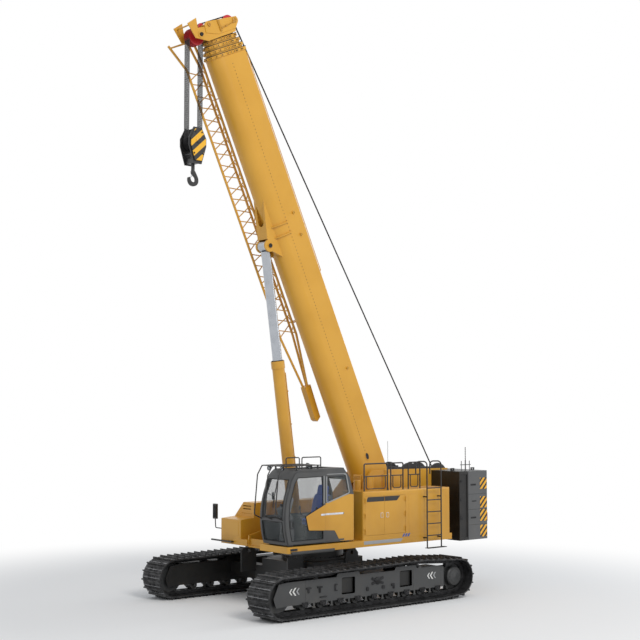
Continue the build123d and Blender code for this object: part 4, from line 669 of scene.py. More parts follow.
# ------------------------------------------------------------------ ropes
def belt(circles, steps=16, side=1):
    """A line over circles (x, z, radius), on their left (side 1) or right (side -1) as it goes:
    on each outer tangent the normal N of both circles has N . way = (r1 - r2) / distance."""
    circles = np.asarray(circles, float)
    middle, radius = circles[:, :2], circles[:, 2]
    gap = np.diff(middle, axis=0)
    distance = np.linalg.norm(gap, axis=1)
    way = gap / distance[:, None]
    left = side * np.stack([-way[:, 1], way[:, 0]], 1)
    lean = ((radius[:-1] - radius[1:]) / distance)[:, None]
    normal = lean * way + np.sqrt(1 - lean ** 2) * left
    turn = np.unwrap(np.arctan2(normal[:, 1], normal[:, 0]))
    arcs = [middle[:1] + radius[0] * normal[:1]]
    for index in range(1, len(circles) - 1):
        angle = np.linspace(turn[index - 1], turn[index], steps)
        arcs.append(middle[index] + radius[index] * np.stack([np.cos(angle), np.sin(angle)], 1))
    arcs.append(middle[-1:] + radius[-1] * normal[-1:])
    return np.concatenate(arcs)


def divided(path, step):
    """A path with points added so that none are further apart than step."""
    path = np.asarray(path, float)
    run = run_along(path)
    places = np.unique(np.concatenate([run, np.linspace(0, run[-1], int(run[-1] / step) + 2)]))
    return np.stack([np.interp(places, run, path[:, axis]) for axis in range(3)], 1)


def wound_drum(name, middle, body, reach=0.236, half=0.356, pitch=0.0225):
    """Rope wound on a drum: radius = layer - ROPE + ROPE |cos(pi place / pitch)|, a ridge for each
    turn. The outer layer lies at reach, and near the left end it steps down to the one below."""
    place = np.linspace(-half, half, int(2 * half / pitch) * 6 + 1)
    ridge = ROPE * np.abs(np.cos(pi * place / pitch))
    layer = np.where(place < half * 0.45, reach, reach - 2 * ROPE)
    barrel = 0.19
    profile = np.stack([layer + ridge - ROPE, place], 1)
    profile = np.concatenate([[(barrel, -half)], profile, [(barrel, half)]])
    piece(name, lathe(profile, middle, Y, 56), rope_steel, body, sharp=80)


wound_drum("main_drum_rope", MAIN_DRUM, "main_winch")
wound_drum("auxiliary_drum_rope", AUXILIARY_DRUM, "auxiliary_winch", 0.222)

# each line begins on a helper circle before the first wheel, whose point is cut off
guide = on_boom(GUIDE_SHEAVE[0], 0.0, GUIDE_SHEAVE[1])
winch_line = belt([(MAIN_DRUM[0] + 0.3, MAIN_DRUM[2] - 0.3, 0.1),
                   (MAIN_DRUM[0], MAIN_DRUM[2], MAIN_ROPE_REACH),
                   (guide[0], guide[2], GUIDE_SHEAVE[2])])[1:]
winch_side = np.linspace(0.13, 0.0, len(winch_line))     # from the drum's left half to the middle
winch_path = divided(np.stack([winch_line[:, 0], winch_side, winch_line[:, 1]], 1), 0.02)
winch_strands = carried(winch_path, strands(0.018, 16, 8), twist=20.0)
winch_rope = piece("winch_rope", winch_strands, rope_steel, None, sharp=80)
# the way it leaves the drum and the place where it leaves; nothing uses them
winch_way = unit(winch_path[-2] - winch_path[-12])
leaving = MAIN_DRUM + MAIN_ROPE_REACH * np.cross(winch_way, Y)
leaving + 1.7 * winch_way
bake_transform(winch_rope)

head_line = belt([(11.2, 0.42, 0.158), GUIDE_SHEAVE, LOWER_GUIDE, HEAD_SHEAVE, (11.95, -1.6, 0.1)])[1:-1]
head_path = divided(on_boom(head_line[:, 0], 0.0, head_line[:, 1]), 0.02)
head_rope = carried(head_path, strands(0.016, 16, 8), twist=20.0)
piece("head_rope", head_rope, rope_steel, "section_5", sharp=80)

turns = np.linspace(0, pi, 28)
fall_sides = FALL_PITCH * (np.arange(5) - 2)


def half_turns(middle, upward):
    """Half circles of rope over five sheaves: middle + reach (cos a, sin a), one for each."""
    arcs = [carried(np.stack([middle[0] + FALL_REACH * np.cos(turns), np.full(len(turns), side),
                              middle[2] + upward * FALL_REACH * np.sin(turns)], 1),
                    strands(ROPE, 16, 8), twist=30.0) for side in fall_sides]
    return joined(*arcs)


piece("head_rope_turns", half_turns(HEAD_AXLE, 1), rope_steel, "plumb_axle", sharp=80)
piece("block_rope_turns", half_turns(BLOCK_AXLE, -1), rope_steel, "hook_block_frame", sharp=80)

fall_line = np.linspace(BLOCK_AXLE, HEAD_AXLE, 200)
fall = carried(fall_line, strands(ROPE, 12, 6), twist=20.0)
fall_places = [(way * FALL_REACH, side, 0.0) for way in (-1, 1) for side in fall_sides]
hoist_rope_falls = repeated(fall, fall_places, X, Z)
falls = piece("hoist_rope_falls", hoist_rope_falls, rope_steel, None, sharp=80,
              stands_for=["hoist_ropes"])
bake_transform(falls)


# ------------------------------------------------------------------ boom
def u_outline(half, top):
    """Outline of a boom section, across and upward: flat sides on a half round belly."""
    turn = np.linspace(0, -pi, 25)
    arc = np.stack([half * np.cos(turn), half * np.sin(turn) - BELLY], 1)
    return np.concatenate([[(half, top)], arc, [(-half, top)]])


def beside_boom(shape, along, reach, height):
    """One shape at places on both sides of the boom, each standing outward."""
    return on_both_sides(
        lambda side: repeated(shape, on_boom(along, side * reach, height), ALONG, side * Y))


# base section: plug welds in a row, their yellow darkened as painted shade round each dot, and the cable rail
dot = lathe([(0.014, 0), (0.012, 0.002), (0.006, 0.0035), (0, 0.004)], sides=8)
boom_plug_welds = beside_boom(dot, np.arange(0.9, 11.1, 0.085), BOOM_HALF + 0.0003, -0.16)
piece("boom_plug_welds", boom_plug_welds, weld_painted_shade, "boom", sharp=60)

rail_ends = on_boom(np.array([5.6, 5.62, 11.16, 11.18]), 0.255, np.array([0.352, 0.392, 0.392, 0.352]))
rail_studs = [pipe(on_boom(np.array([place, place]), 0.255, np.array([0.350, 0.392])), 0.006, sides=8)
              for place in np.arange(6.0, 11.1, 0.42)]
boom_cable_rail = joined(pipe(rail_ends, 0.009, 0.012, 8), *rail_studs)
piece("boom_cable_rail", boom_cable_rail, paint_boom, "boom", sharp=60)

# collars: bolts, the slide pads' housings with their screws, and a wiper round the next section
collar_bolt, pad_screw = bolt_head(0.011, 0.014), bolt_head(0.010, 0.010)
slide_pad = slab([(-0.026, -0.004), (0.026, -0.004), (0.020, 0.016), (-0.020, 0.016)], 0.070)
side_heights = np.array([-0.02, -0.12, -0.22])
bolt_heights = np.array([0.042, 0.078, 0.202, 0.238])
belly_turns = radians(-15) - np.arange(7) * radians(25)
for number, body in enumerate(["boom", "section_2", "section_3", "section_4"]):
    front = COLLAR_FRONT + COLLAR_PITCH * number - 0.035
    half = BOOM_HALF - BOOM_STEP * number + 0.038
    crown = BOOM_TOP - BOOM_STEP * number + 0.022
    side_bolts = beside_boom(collar_bolt, front, half, bolt_heights)
    top_bolts = repeated(collar_bolt, on_boom(front, np.array([-0.1, 0.0, 0.1]), crown), ALONG, OUT)
    piece(f"collar_bolts_{number + 1}", joined(side_bolts, top_bolts), steel_dark, body)
    seat = half - 0.016
    round_out = np.cos(belly_turns)[:, None] * Y + np.sin(belly_turns)[:, None] * OUT
    round_places = on_boom(front, seat * np.cos(belly_turns), seat * np.sin(belly_turns) - BELLY)
    housings = joined(beside_boom(slide_pad, front, seat, side_heights),
                      repeated(slide_pad, round_places, ALONG, round_out))
    piece(f"collar_pad_housings_{number + 1}", housings, paint_boom, body, 0.003)
    screws = joined(beside_boom(pad_screw, front, half, side_heights),
                    repeated(pad_screw, round_places + 0.016 * round_out, ALONG, round_out))
    piece(f"collar_pad_screws_{number + 1}", screws, steel_dark, body)
    bore = half - 0.0595
    wiper = frame_slab(u_outline(bore + 0.040, crown + 0.004), u_outline(bore, crown - 0.0435), 0.014,
                       on_boom(front + 0.043, 0.0, 0.0), Y, OUT)
    piece(f"collar_wiper_{number + 1}", wiper, rubber, body, 0.002)

# columns: place along the boom and height of each side boss
side_bosses = [(7.214, 0.108), (6.648, 0.120), (3.100, 0.150)]
for number, (along, height) in enumerate(side_bosses):
    side_boss_bolts = on_both_sides(
        lambda side: ring_of_bolts(on_boom(along, side * 0.334, height), side * Y, 0.021, 5, 0.005, 0.006))
    piece(f"side_boss_bolts_{number + 1}", side_boss_bolts, steel_dark, "boom")


def beside_hole(side, stand):
    """Middle of the boom's hand hole on one side, standing off the boom's face."""
    return np.array([-1.66, side * (BOOM_HALF + stand), 3.38])


hole = circle(1.0, 40) * [0.085, 0.048]
boom_hand_hole_rim = on_both_sides(
    lambda side: frame_slab(hole * 1.28, hole, 0.012, beside_hole(side, 0.005), ALONG, OUT))
piece("boom_hand_hole_rim", boom_hand_hole_rim, paint_boom, "boom", 0.003)
# a black sheet just inside the rim: painted shade standing for the dark inside of the hole
boom_hand_hole_shade = on_both_sides(lambda side: slab(hole * 0.99, 0.004, beside_hole(side, 0.003), ALONG, OUT))
piece("boom_hand_hole_shade", boom_hand_hole_shade, plastic_black, "boom")

# head: cover plates, folded ribs and the grease pipe to the guide sheave; the ribs, bosses and pipe take a
# darker yellow that is painted shade
cover = np.array([(11.770, 0.262), (11.915, 0.400), (12.035, 0.385), (12.105, -0.520), (12.060, -0.600),
                  (11.860, -0.620), (11.760, -0.300)])
for side_name, side in SIDES:
    on_head = on_boom(0.0, side * 0.3075, 0.0)
    head_cover = slab(rounded(cover, 0.02), 0.015, on_head, ALONG, OUT)
    piece(f"head_cover_{side_name}", head_cover, paint_boom, "section_5", 0.003)
    fold = slab([(-0.036, -0.002), (0.036, -0.002), (0.024, 0.026), (-0.024, 0.026)], 0.275)
    folds = placed(fold, on_boom(11.938, side * 0.314, -0.185), OUT, side * Y)
    bosses = [lathe([(radius, -0.002), (radius, 0.020), (radius * 0.8, 0.026), (radius * 0.5, 0.026),
                     (radius * 0.45, 0.016), (0, 0.016)], on_boom(along, side * 0.314, height), side * Y, 28)
              for along, height, radius in ((11.960, 0.300, 0.062), (12.020, -0.470, 0.045))]
    piece(f"head_cover_ribs_{side_name}", joined(folds, *bosses), fold_painted_shade, "section_5", 0.003)
    run = on_boom(np.array([11.870, 11.885, 11.925]), side * 0.330, np.array([-0.14, 0.0, 0.24]))
    unions = [lathe([(0.022, -0.03), (0.022, 0.03), (0.012, 0.034), (0, 0.034)], place,
                    unit(run[2] - run[0]), 6) for place in run]
    head_grease_pipe = joined(pipe(run, 0.011, 0.03), *unions)
    piece(f"head_grease_pipe_{side_name}", head_grease_pipe, fold_painted_shade, "section_5", 0.002, sharp=50)


def keeper(name, middle, radius, body, finish=steel_dark):
    """Round keeper plate on both ends of a pin, dished, with a ring of bolts."""
    parts = []
    for side in (1, -1):
        place = np.asarray(middle) * [1, side, 1]
        parts.append(lathe([(radius, 0), (radius, 0.010), (radius * 0.9, 0.014), (radius * 0.45, 0.014),
                            (radius * 0.38, 0.008), (0, 0.008)], place, side * Y, 32))
        parts.append(ring_of_bolts(place + [0, side * 0.013, 0], side * Y, radius * 0.68, 6,
                                   radius * 0.12, radius * 0.12))
    piece(name, joined(*parts), finish, body, 0.0015)


keeper("foot_pin_keepers", PIVOT + 0.4655 * Y, 0.085, "superstructure", paint_yellow)
keeper("rod_eye_keepers", ROD_EYE + 0.2105 * Y, 0.052, "boom")
keeper("head_axle_keepers", HEAD_AXLE + 0.3305 * Y, 0.042, "plumb_axle")
keeper("block_axle_keepers", BLOCK_AXLE + 0.2365 * Y, 0.075, "hook_block_frame", block_stripes)
keeper("cylinder_foot_keepers", FOOT + 0.2155 * Y, 0.07, "superstructure")


# ------------------------------------------------------------------ luffing cylinder
gland = FOOT + 3.85 * CYLINDER
cylinder_gland_seal = lathe([(0.1185, 0), (0.150, 0), (0.150, 0.012), (0.138, 0.020), (0.1185, 0.020)],
                            gland, CYLINDER, 48)
piece("cylinder_gland_seal", cylinder_gland_seal, rubber, "luff_barrel", 0.002)
cylinder_gland_bolts = ring_of_bolts(gland - 0.006 * CYLINDER, CYLINDER, 0.158, 12, 0.007, 0.009)
piece("cylinder_gland_bolts", cylinder_gland_bolts, steel_dark, "luff_barrel")
rear = unit(np.cross(CYLINDER, Y))
for number, side in enumerate((-0.05, 0.05)):
    start = FOOT + 0.35 * CYLINDER + rear * 0.165 + side * Y
    end = FOOT + 3.55 * CYLINDER + rear * 0.165 + side * Y
    cylinder_oil_pipe = pipe([start - rear * 0.03, start, end, end - rear * 0.03], 0.011, 0.02)
    piece(f"cylinder_oil_pipe_{number + 1}", cylinder_oil_pipe, paint_yellow, "luff_barrel", sharp=60)
clamp_places = FOOT + np.array([0.7, 1.5, 2.3, 3.1])[:, None] * CYLINDER + rear * 0.166
clamp = slab([(-0.075, -0.016), (0.075, -0.016), (0.075, 0.012), (0.06, 0.018), (-0.06, 0.018),
              (-0.075, 0.012)], 0.03)
piece("cylinder_pipe_clamps", repeated(clamp, clamp_places, Y, rear), paint_yellow, "luff_barrel", 0.002)


# ------------------------------------------------------------------ tracks
# columns: x, z, radius over the shoe plates
TRACK_WHEELS = [(2.690, 0.500, 0.455), (-1.520, 0.795, 0.220), (-2.715, 0.515, 0.430),
                (-2.100, 0.270, 0.225)]
SHOES = 68


def track_places(share):
    """Places, ways and outward normals of the shoes: the belt over the four wheels, read at
    equal steps along its run and moved on by a share of a shoe."""
    line = belt([TRACK_WHEELS[-1], *TRACK_WHEELS, TRACK_WHEELS[0]], 60, -1)[1:-1]
    line = np.concatenate([line, line[:1]])
    run = run_along(line)
    at = (np.arange(SHOES) + share) / SHOES * run[-1]
    here, ahead = [np.stack([np.interp(place % run[-1], run, line[:, axis]) for axis in (0, 1)], 1)
                   for place in (at - 0.004, at + 0.004)]
    way = unit(ahead - here)
    middle = (here + ahead) / 2
    zero = np.zeros(SHOES)
    return (np.stack([middle[:, 0], zero, middle[:, 1]], 1), np.stack([way[:, 0], zero, way[:, 1]], 1),
            np.stack([way[:, 1], zero, -way[:, 0]], 1))


shoe_bolt = lathe([(0.017, 0), (0.017, 0.013), (0.012, 0.016), (0, 0.016)], sides=6)
link_plate = slab(oblong(0, 0, 0.196, 0.074, 0.03), 0.012)
link_pin = lathe([(0.030, 0), (0.030, 0.009), (0.024, 0.013), (0.010, 0.013), (0, 0.009)], sides=10)
ridge = slab([(-0.014, 0), (0.014, 0), (0.009, 0.014), (-0.009, 0.014)], 0.74)
chevron = np.array([(0.055, 0), (-0.015, 0.085), (-0.058, 0.085), (0.012, 0), (-0.058, -0.085),
                    (-0.015, -0.085)])
ROLLERS = np.linspace(2.0, -2.1, 9)

for side_name, side in SIDES:
    body = f"crawler_{side_name}"
    middle = np.array([0, side * TRACK_MIDDLE, 0])
    face = side * FRAME_FACE
    bolts = [repeated(shoe_bolt, place + middle + across * Y, way, out)
             for place, way, out in (track_places(0.62), track_places(0.86))
             for across in (-0.125, -0.055, 0.055, 0.125)]
    piece(f"shoe_bolts_{side_name}", joined(*bolts), steel_dark, body, sharp=30, slot="track_steel")
    place, way, out = track_places(0.73)
    shoe_ridges = repeated(ridge, place + middle - 0.001 * out, way, out)
    piece(f"shoe_ridges_{side_name}", shoe_ridges, grouser_highlight_steel, body)
    place, way, out = track_places(0.5)
    links = [repeated(link_plate, place + middle - 0.078 * out + across * Y, way, out)
             for across in (-0.114, -0.056, 0.056, 0.114)]
    place, way, out = track_places(0.02)
    links += [repeated(link_pin, place + middle - 0.080 * out + across * Y, way, np.sign(across) * Y)
              for across in (-0.116, 0.116)]
    piece(f"chain_links_{side_name}", joined(*links), steel_dark, body, sharp=30, slot="track_steel")

    marks = {"white": [], "grey": []}
    for mark_x in (2.30, -1.90):
        for step, (size, tone) in enumerate(((0.8, "white"), (1.0, "white"), (0.85, "grey"))):
            outline = chevron * size + [mark_x + 0.10 - 0.10 * step, 0.60]
            marks[tone].append(on_side(outline, face + side * 0.0008, 0.0016))
    piece(f"chevrons_white_{side_name}", joined(*marks["white"]), paint_white, body)
    piece(f"chevrons_grey_{side_name}", joined(*marks["grey"]), paint_blank, body)

    hub = np.array([-0.15, face, 0.63])
    arm = slab([(0.03, -0.022), (0.17, -0.030), (0.19, -0.018), (0.19, 0.018), (0.17, 0.030), (0.03, 0.022)],
               0.022)
    arms = [placed(arm, hub + [0, side * 0.010, 0], (cos(turn), 0, sin(turn)), (-sin(turn), 0, cos(turn)))
            for turn in (0.35, pi - 0.35, pi + 0.35, -0.35)]
    hub_cover = lathe([(0.085, 0), (0.085, 0.022), (0.060, 0.034), (0, 0.036)], hub, side * Y, 28)
    piece(f"gauge_hose_cover_{side_name}", joined(hub_cover, *arms), steel_dark, body, 0.003,
          slot="dark_paint")

    # columns: x, z, width, height of the small brackets and eyes on the frame
    fittings = [(1.90, 0.64, 0.15, 0.035), (1.90, 0.58, 0.05, 0.09), (1.58, 0.64, 0.15, 0.035),
                (1.58, 0.57, 0.05, 0.11), (1.13, 0.59, 0.03, 0.15), (1.10, 0.655, 0.06, 0.022),
                (1.10, 0.525, 0.06, 0.022), (0.16, 0.47, 0.07, 0.09), (-0.33, 0.47, 0.09, 0.08),
                (-0.63, 0.50, 0.10, 0.06), (-0.66, 0.44, 0.05, 0.07), (1.48, 0.42, 0.20, 0.024)]
    plates = [on_side(oblong(x, z, wide, high, min(wide, high) * 0.3), face + side * 0.009, 0.018)
              for x, z, wide, high in fittings]
    piece(f"frame_brackets_{side_name}", joined(*plates), steel_dark, body, 0.002, slot="dark_paint")
    seams = [on_side(oblong(x, 0.575, 0.010, 0.46, 0.003), face + side * 0.002, 0.004)
             for x in (1.98, -1.30, -2.22)]
    piece(f"frame_weld_seams_{side_name}", joined(*seams), paint_frame, body, 0.0015)

    hanger = [(-0.085, 0.075), (-0.085, 0.020), (-0.050, -0.050), (0.050, -0.050), (0.085, 0.020),
              (0.085, 0.075)]
    hangers = [on_side(np.array(hanger) + [x, 0.270], face + side * 0.008, 0.016) for x in ROLLERS]
    caps = [lathe([(0.042, 0), (0.042, 0.012), (0.034, 0.018), (0.012, 0.018), (0.010, 0.010), (0, 0.010)],
                  (x, face + side * 0.016, 0.262), side * Y, 20) for x in ROLLERS]
    hanger_bolts = [repeated(bolt_head(0.012, 0.014),
                             [(x + step, face + side * 0.016, 0.325) for x in ROLLERS], X, side * Y)
                    for step in (-0.055, 0.055)]
    piece(f"roller_hangers_{side_name}", joined(*hangers, *caps, *hanger_bolts), steel_dark, body, 0.0015,
          slot="dark_paint")

    drive_x, drive_z, _ = TRACK_WHEELS[2]
    drive = np.array([drive_x, side * 2.295, drive_z])
    cover = lathe([(0.150, 0), (0.150, 0.006), (0.135, 0.010), (0.060, 0.012), (0.050, 0.018), (0, 0.018)],
                  drive - [0, side * 0.002, 0], side * Y, 40)
    rim_bolts = ring_of_bolts(drive, side * Y, 0.182, 16, 0.011, 0.010)
    hub_bolts = ring_of_bolts(drive + [0, side * 0.008, 0], side * Y, 0.105, 6, 0.010, 0.010)
    final_drive_cover = joined(cover, rim_bolts, hub_bolts)
    piece(f"final_drive_cover_{side_name}", final_drive_cover, paint_frame, body, 0.0015)

slew_ring_bolts = ring_of_bolts((-0.16, 0, 1.02), Z, 0.75, 40, 0.014, 0.018)
piece("slew_ring_bolts", slew_ring_bolts, steel_dark, "undercarriage")


# ------------------------------------------------------------------ cab
def arc_through(first, middle, last, steps=16):
    """Points on the circle through three points: its centre lies where their bisectors meet."""
    first, middle, last = (np.asarray(point, float) for point in (first, middle, last))
    sides = 2 * np.stack([middle - first, last - first])
    centre = np.linalg.solve(sides, [middle @ middle - first @ first, last @ last - first @ first])
    turn = np.unwrap([np.arctan2(*(point - centre)[::-1]) for point in (first, middle, last)])
    angle = np.linspace(turn[0], turn[2], steps)
    return centre + np.linalg.norm(first - centre) * np.stack([np.cos(angle), np.sin(angle)], 1)


nose = np.concatenate([arc_through((1.800, 1.480), (1.905, 2.130), (1.760, 2.780), 40),
                       arc_through((1.760, 2.780), (1.660, 3.030), (1.470, 3.180), 20)[1:]])


def on_nose(height, side, stand=0.0):
    """Points on the cab's curved front at the given heights and widths, standing off it."""
    height, side = np.broadcast_arrays(np.asarray(height, float), side)
    x = np.interp(height, nose[:, 1], nose[:, 0])
    slope = np.interp(height, nose[1:, 1], np.diff(nose[:, 0]) / np.diff(nose[:, 1]))
    out = unit(np.stack([np.ones_like(slope), np.zeros_like(slope), -slope], -1))
    return np.stack([x, side, height], -1) + stand * out


def nose_frame(low, high, inner, outer):
    """A closed line round a front window, on the cab's curved front."""
    up, across = np.linspace(low, high, 18), np.linspace(inner, outer, 12)
    return np.concatenate([on_nose(up, inner, 0.004)[:-1], on_nose(high, across, 0.004)[:-1],
                           on_nose(up[::-1], outer, 0.004)[:-1], on_nose(low, across[::-1], 0.004)[:-1]])


windscreen_seals = joined(*[carried(nose_frame(low, high, 0.637, 1.378), circle(0.010, 8), True)
                            for low, high in ((2.094, 2.955), (1.565, 2.006))])
piece("windscreen_seals", windscreen_seals, rubber, "superstructure", sharp=50)

panel_shell = rounded([(0.712, 1.763), (0.41, 1.745), (0.24, 1.492), (-0.184, 1.488), (-0.184, 2.555),
                       (-0.06, 2.568), (0.61, 2.41), (0.712, 2.366)], 0.02)
panel_door = rounded([(1.305, 2.112), (1.225, 1.795), (0.726, 1.764), (0.726, 2.360)], 0.028)
cab_side_panel = on_side(panel_shell, SHELL_FACE + 0.0019, 0.0042)
piece("cab_side_panel", cab_side_panel, paint_yellow, "superstructure", 0.0012)
piece("door_panel", on_side(panel_door, DOOR_FACE + 0.003, 0.007), paint_yellow, "cab_door_leaf", 0.002)
door_rail_cover = on_side(oblong(0.42, 2.13, 0.56, 0.044, 0.018), 1.4600, 0.0018)
piece("door_rail_cover", door_rail_cover, chrome, "superstructure")
door_rail_end = on_side(oblong(0.80, 2.13, 0.13, 0.046, 0.02), DOOR_FACE + 0.008, 0.010)
piece("door_rail_end", door_rail_end, chrome, "cab_door_leaf", 0.003)

door_window = rounded([(0.79, 1.575), (1.72, 1.575), (1.775, 1.85), (1.80, 2.10), (1.775, 2.42), (1.69, 2.70),
                       (1.64, 2.87), (1.54, 3.00), (0.79, 3.01), (0.79, 2.335), (1.30, 2.11), (1.22, 1.79),
                       (0.79, 1.77)], 0.012, 3)
door_window_seal = frame_slab(grown(door_window, 0.006), grown(door_window, -0.012), 0.010,
                              (0, DOOR_FACE, 0))
piece("door_window_seal", door_window_seal, rubber, "cab_door_leaf", 0.002)
quarter = rounded([(0.06, 3.03), (0.64, 3.03), (0.64, 2.40), (-0.04, 2.60)], 0.04)
quarter_window_rim = frame_slab(grown(quarter, 0.028), grown(quarter, -0.006), 0.0046,
                                (0, SHELL_FACE + 0.0019, 0))
piece("quarter_window_rim", quarter_window_rim, paint_rim, "superstructure", 0.0012)
door_rim = rounded([(0.752, 2.39), (0.782, 2.375), (0.782, 3.02), (0.752, 3.02)], 0.01)
piece("door_window_rim", on_side(door_rim, DOOR_FACE + 0.0015, 0.004), paint_rim, "cab_door_leaf", 0.001)
right_window = rounded([(0.06, 3.03), (1.56, 3.00), (1.73, 2.60), (1.77, 2.10), (-0.04, 2.10)], 0.04)
right_window_seal = frame_slab(grown(right_window, 0.014), grown(right_window, -0.010), 0.012,
                               (0, 0.560, 0))
piece("right_window_seal", right_window_seal, rubber, "superstructure", 0.002)

recess = rounded([(1.66, 2.03), (1.72, 2.06), (1.775, 2.03), (1.775, 1.88), (1.72, 1.85), (1.66, 1.88)],
                 0.008)
door_handle_dish = frame_slab(recess, grown(recess, -0.014), 0.010, (0, DOOR_FACE + 0.004, 0))
piece("door_handle_dish", door_handle_dish, plastic_black, "cab_door_leaf", 0.002)
door_handle = pipe([(1.718, DOOR_FACE - 0.004, 2.005), (1.718, DOOR_FACE + 0.022, 2.005),
                    (1.718, DOOR_FACE + 0.022, 1.905), (1.718, DOOR_FACE - 0.004, 1.905)], 0.008, 0.012)
piece("door_handle", door_handle, plastic_black, "cab_door_leaf", sharp=60)

wiper_line = on_nose(np.linspace(2.10, 2.62, 10), np.linspace(1.25, 1.02, 10), 0.026)
blade_line = on_nose(np.linspace(2.30, 2.90, 14), np.linspace(1.04, 0.99, 14), 0.012)
wiper_arm = joined(carried(wiper_line, circle(0.006, 8)),
                   lathe([(0.022, -0.02), (0.022, 0.018), (0.014, 0.026), (0, 0.026)],
                         on_nose(2.10, 1.25, 0.014), X, 16))
piece("wiper_arm", wiper_arm, plastic_black, "superstructure", sharp=50)
wiper_blade = carried(blade_line, [(-0.010, -0.006), (0.010, -0.006), (0.006, 0.010), (-0.006, 0.010)])
piece("wiper_blade", wiper_blade, rubber, "superstructure")

inner_mirror = placed(slab(oblong(0, 0, 0.10, 0.17, 0.02), 0.022), (1.66, 0.72, 2.56), (0.35, 0.94, 0.1))
mirror_stay = pipe([(1.66, 0.70, 2.56), (1.70, 0.65, 2.60), (1.73, 0.62, 2.62)], 0.006, 0.02)
cab_inner_mirror = joined(inner_mirror, mirror_stay)
piece("cab_inner_mirror", cab_inner_mirror, plastic_black, "superstructure", 0.004)

lamp_places = [(1.80, 0.76, 3.205), (1.80, 1.24, 3.205), (1.05, 1.33, 3.225), (0.62, 0.72, 3.235)]
for number, (x, y, z) in enumerate(lamp_places):
    bowl = lathe([(0.020, -0.055), (0.045, -0.035), (0.055, 0.0), (0.055, 0.020), (0.048, 0.020),
                  (0.044, 0.010), (0, 0.006)], (x, y, z), X, 24)
    stay = pipe([(x - 0.02, y, z - 0.07 if number > 1 else z + 0.055), (x - 0.02, y, z)], 0.010)
    piece(f"work_lamp_{number + 1}", joined(bowl, stay), plastic_black, "superstructure", 0.0015,
          sharp=50)
    work_lamp_lens = lathe([(0.043, 0.012), (0.030, 0.017), (0, 0.019)], (x, y, z), X, 24)
    piece(f"work_lamp_lens_{number + 1}", work_lamp_lens, lens, "superstructure", sharp=60)


# ------------------------------------------------------------------ inside the cab
def signed_power(value, power):
    """|value| to a power with the value's own sign."""
    return np.sign(value) * np.abs(value) ** power


def pad(name, middle, half, upward=Z, corner=0.42, channel=0.0):
    """A stuffed pad: x = a c(u)^e c(v)^e, y = b c(u)^e s(v)^e, z = c s(u)^e, its sides pulled in
    at the seam round its middle and its crown pressed in by sewn channels."""
    u, v = np.meshgrid(np.linspace(-pi / 2, pi / 2, 40), np.linspace(-pi, pi, 72, endpoint=False),
                       indexing="ij")
    waist = 1 - 0.035 * np.exp(-(u / 0.10) ** 2)
    x = waist * signed_power(np.cos(u), corner) * signed_power(np.cos(v), corner)
    y = waist * signed_power(np.cos(u), corner) * signed_power(np.sin(v), corner)
    z = signed_power(np.sin(u), corner) * (1 - channel * np.exp(-((np.abs(y) - 0.52) / 0.05) ** 2))
    points = np.stack([x, y, z], -1).reshape(-1, 3) * half
    stuffed = placed((points, grid_faces(*u.shape, False, True)), middle, np.cross(Y, upward), upward)
    made = piece(name, stuffed, seat_cloth, "superstructure", sharp=80)


lean = unit([-0.21, 0, 0.978])
pad("seat_cushion", (0.655, SEAT_SIDE, 1.93), (0.255, 0.265, 0.085), channel=0.14)
pad("seat_back", (0.462, SEAT_SIDE, 2.235), (0.345, 0.262, 0.118), np.cross(Y, lean), channel=0.12)
pad("seat_headrest", (0.412, SEAT_SIDE, 2.645), (0.135, 0.145, 0.072), np.cross(Y, lean))

for number, side in enumerate((-1, 1)):
    base = np.array([0.84, SEAT_SIDE + side * 0.31, 2.085])
    boot = lathe([(0.045, 0), (0.038, 0.015), (0.040, 0.022), (0.028, 0.035), (0.030, 0.042), (0.016, 0.060),
                  (0, 0.062)], base, Z, 24)
    grip = lathe([(0.010, 0.05), (0.012, 0.10), (0.020, 0.12), (0.024, 0.17), (0.021, 0.205), (0.010, 0.220),
                  (0, 0.222)], base, unit([0.12, 0, 1]), 20)
    piece(f"control_lever_{number + 1}", joined(boot, grip), plastic_black, "superstructure", sharp=50)

tilt = unit([0.25, 0, 0.97])
console = slab([(0.0, 0.0), (0.10, 0.0), (0.075, 0.52), (0.030, 0.56), (-0.010, 0.50)], 0.26)
display_console = placed(console, (1.40, 0.86, 1.98), X, unit([-0.28, 0, 0.96]))
piece("display_console", display_console, plastic_pale, "superstructure", 0.010)
screen = placed(slab(oblong(0, 0, 0.24, 0.16, 0.012), 0.022), (1.545, 0.99, 2.30), (0, 1, 0), tilt)
piece("display", screen, plastic_black, "superstructure", 0.003)


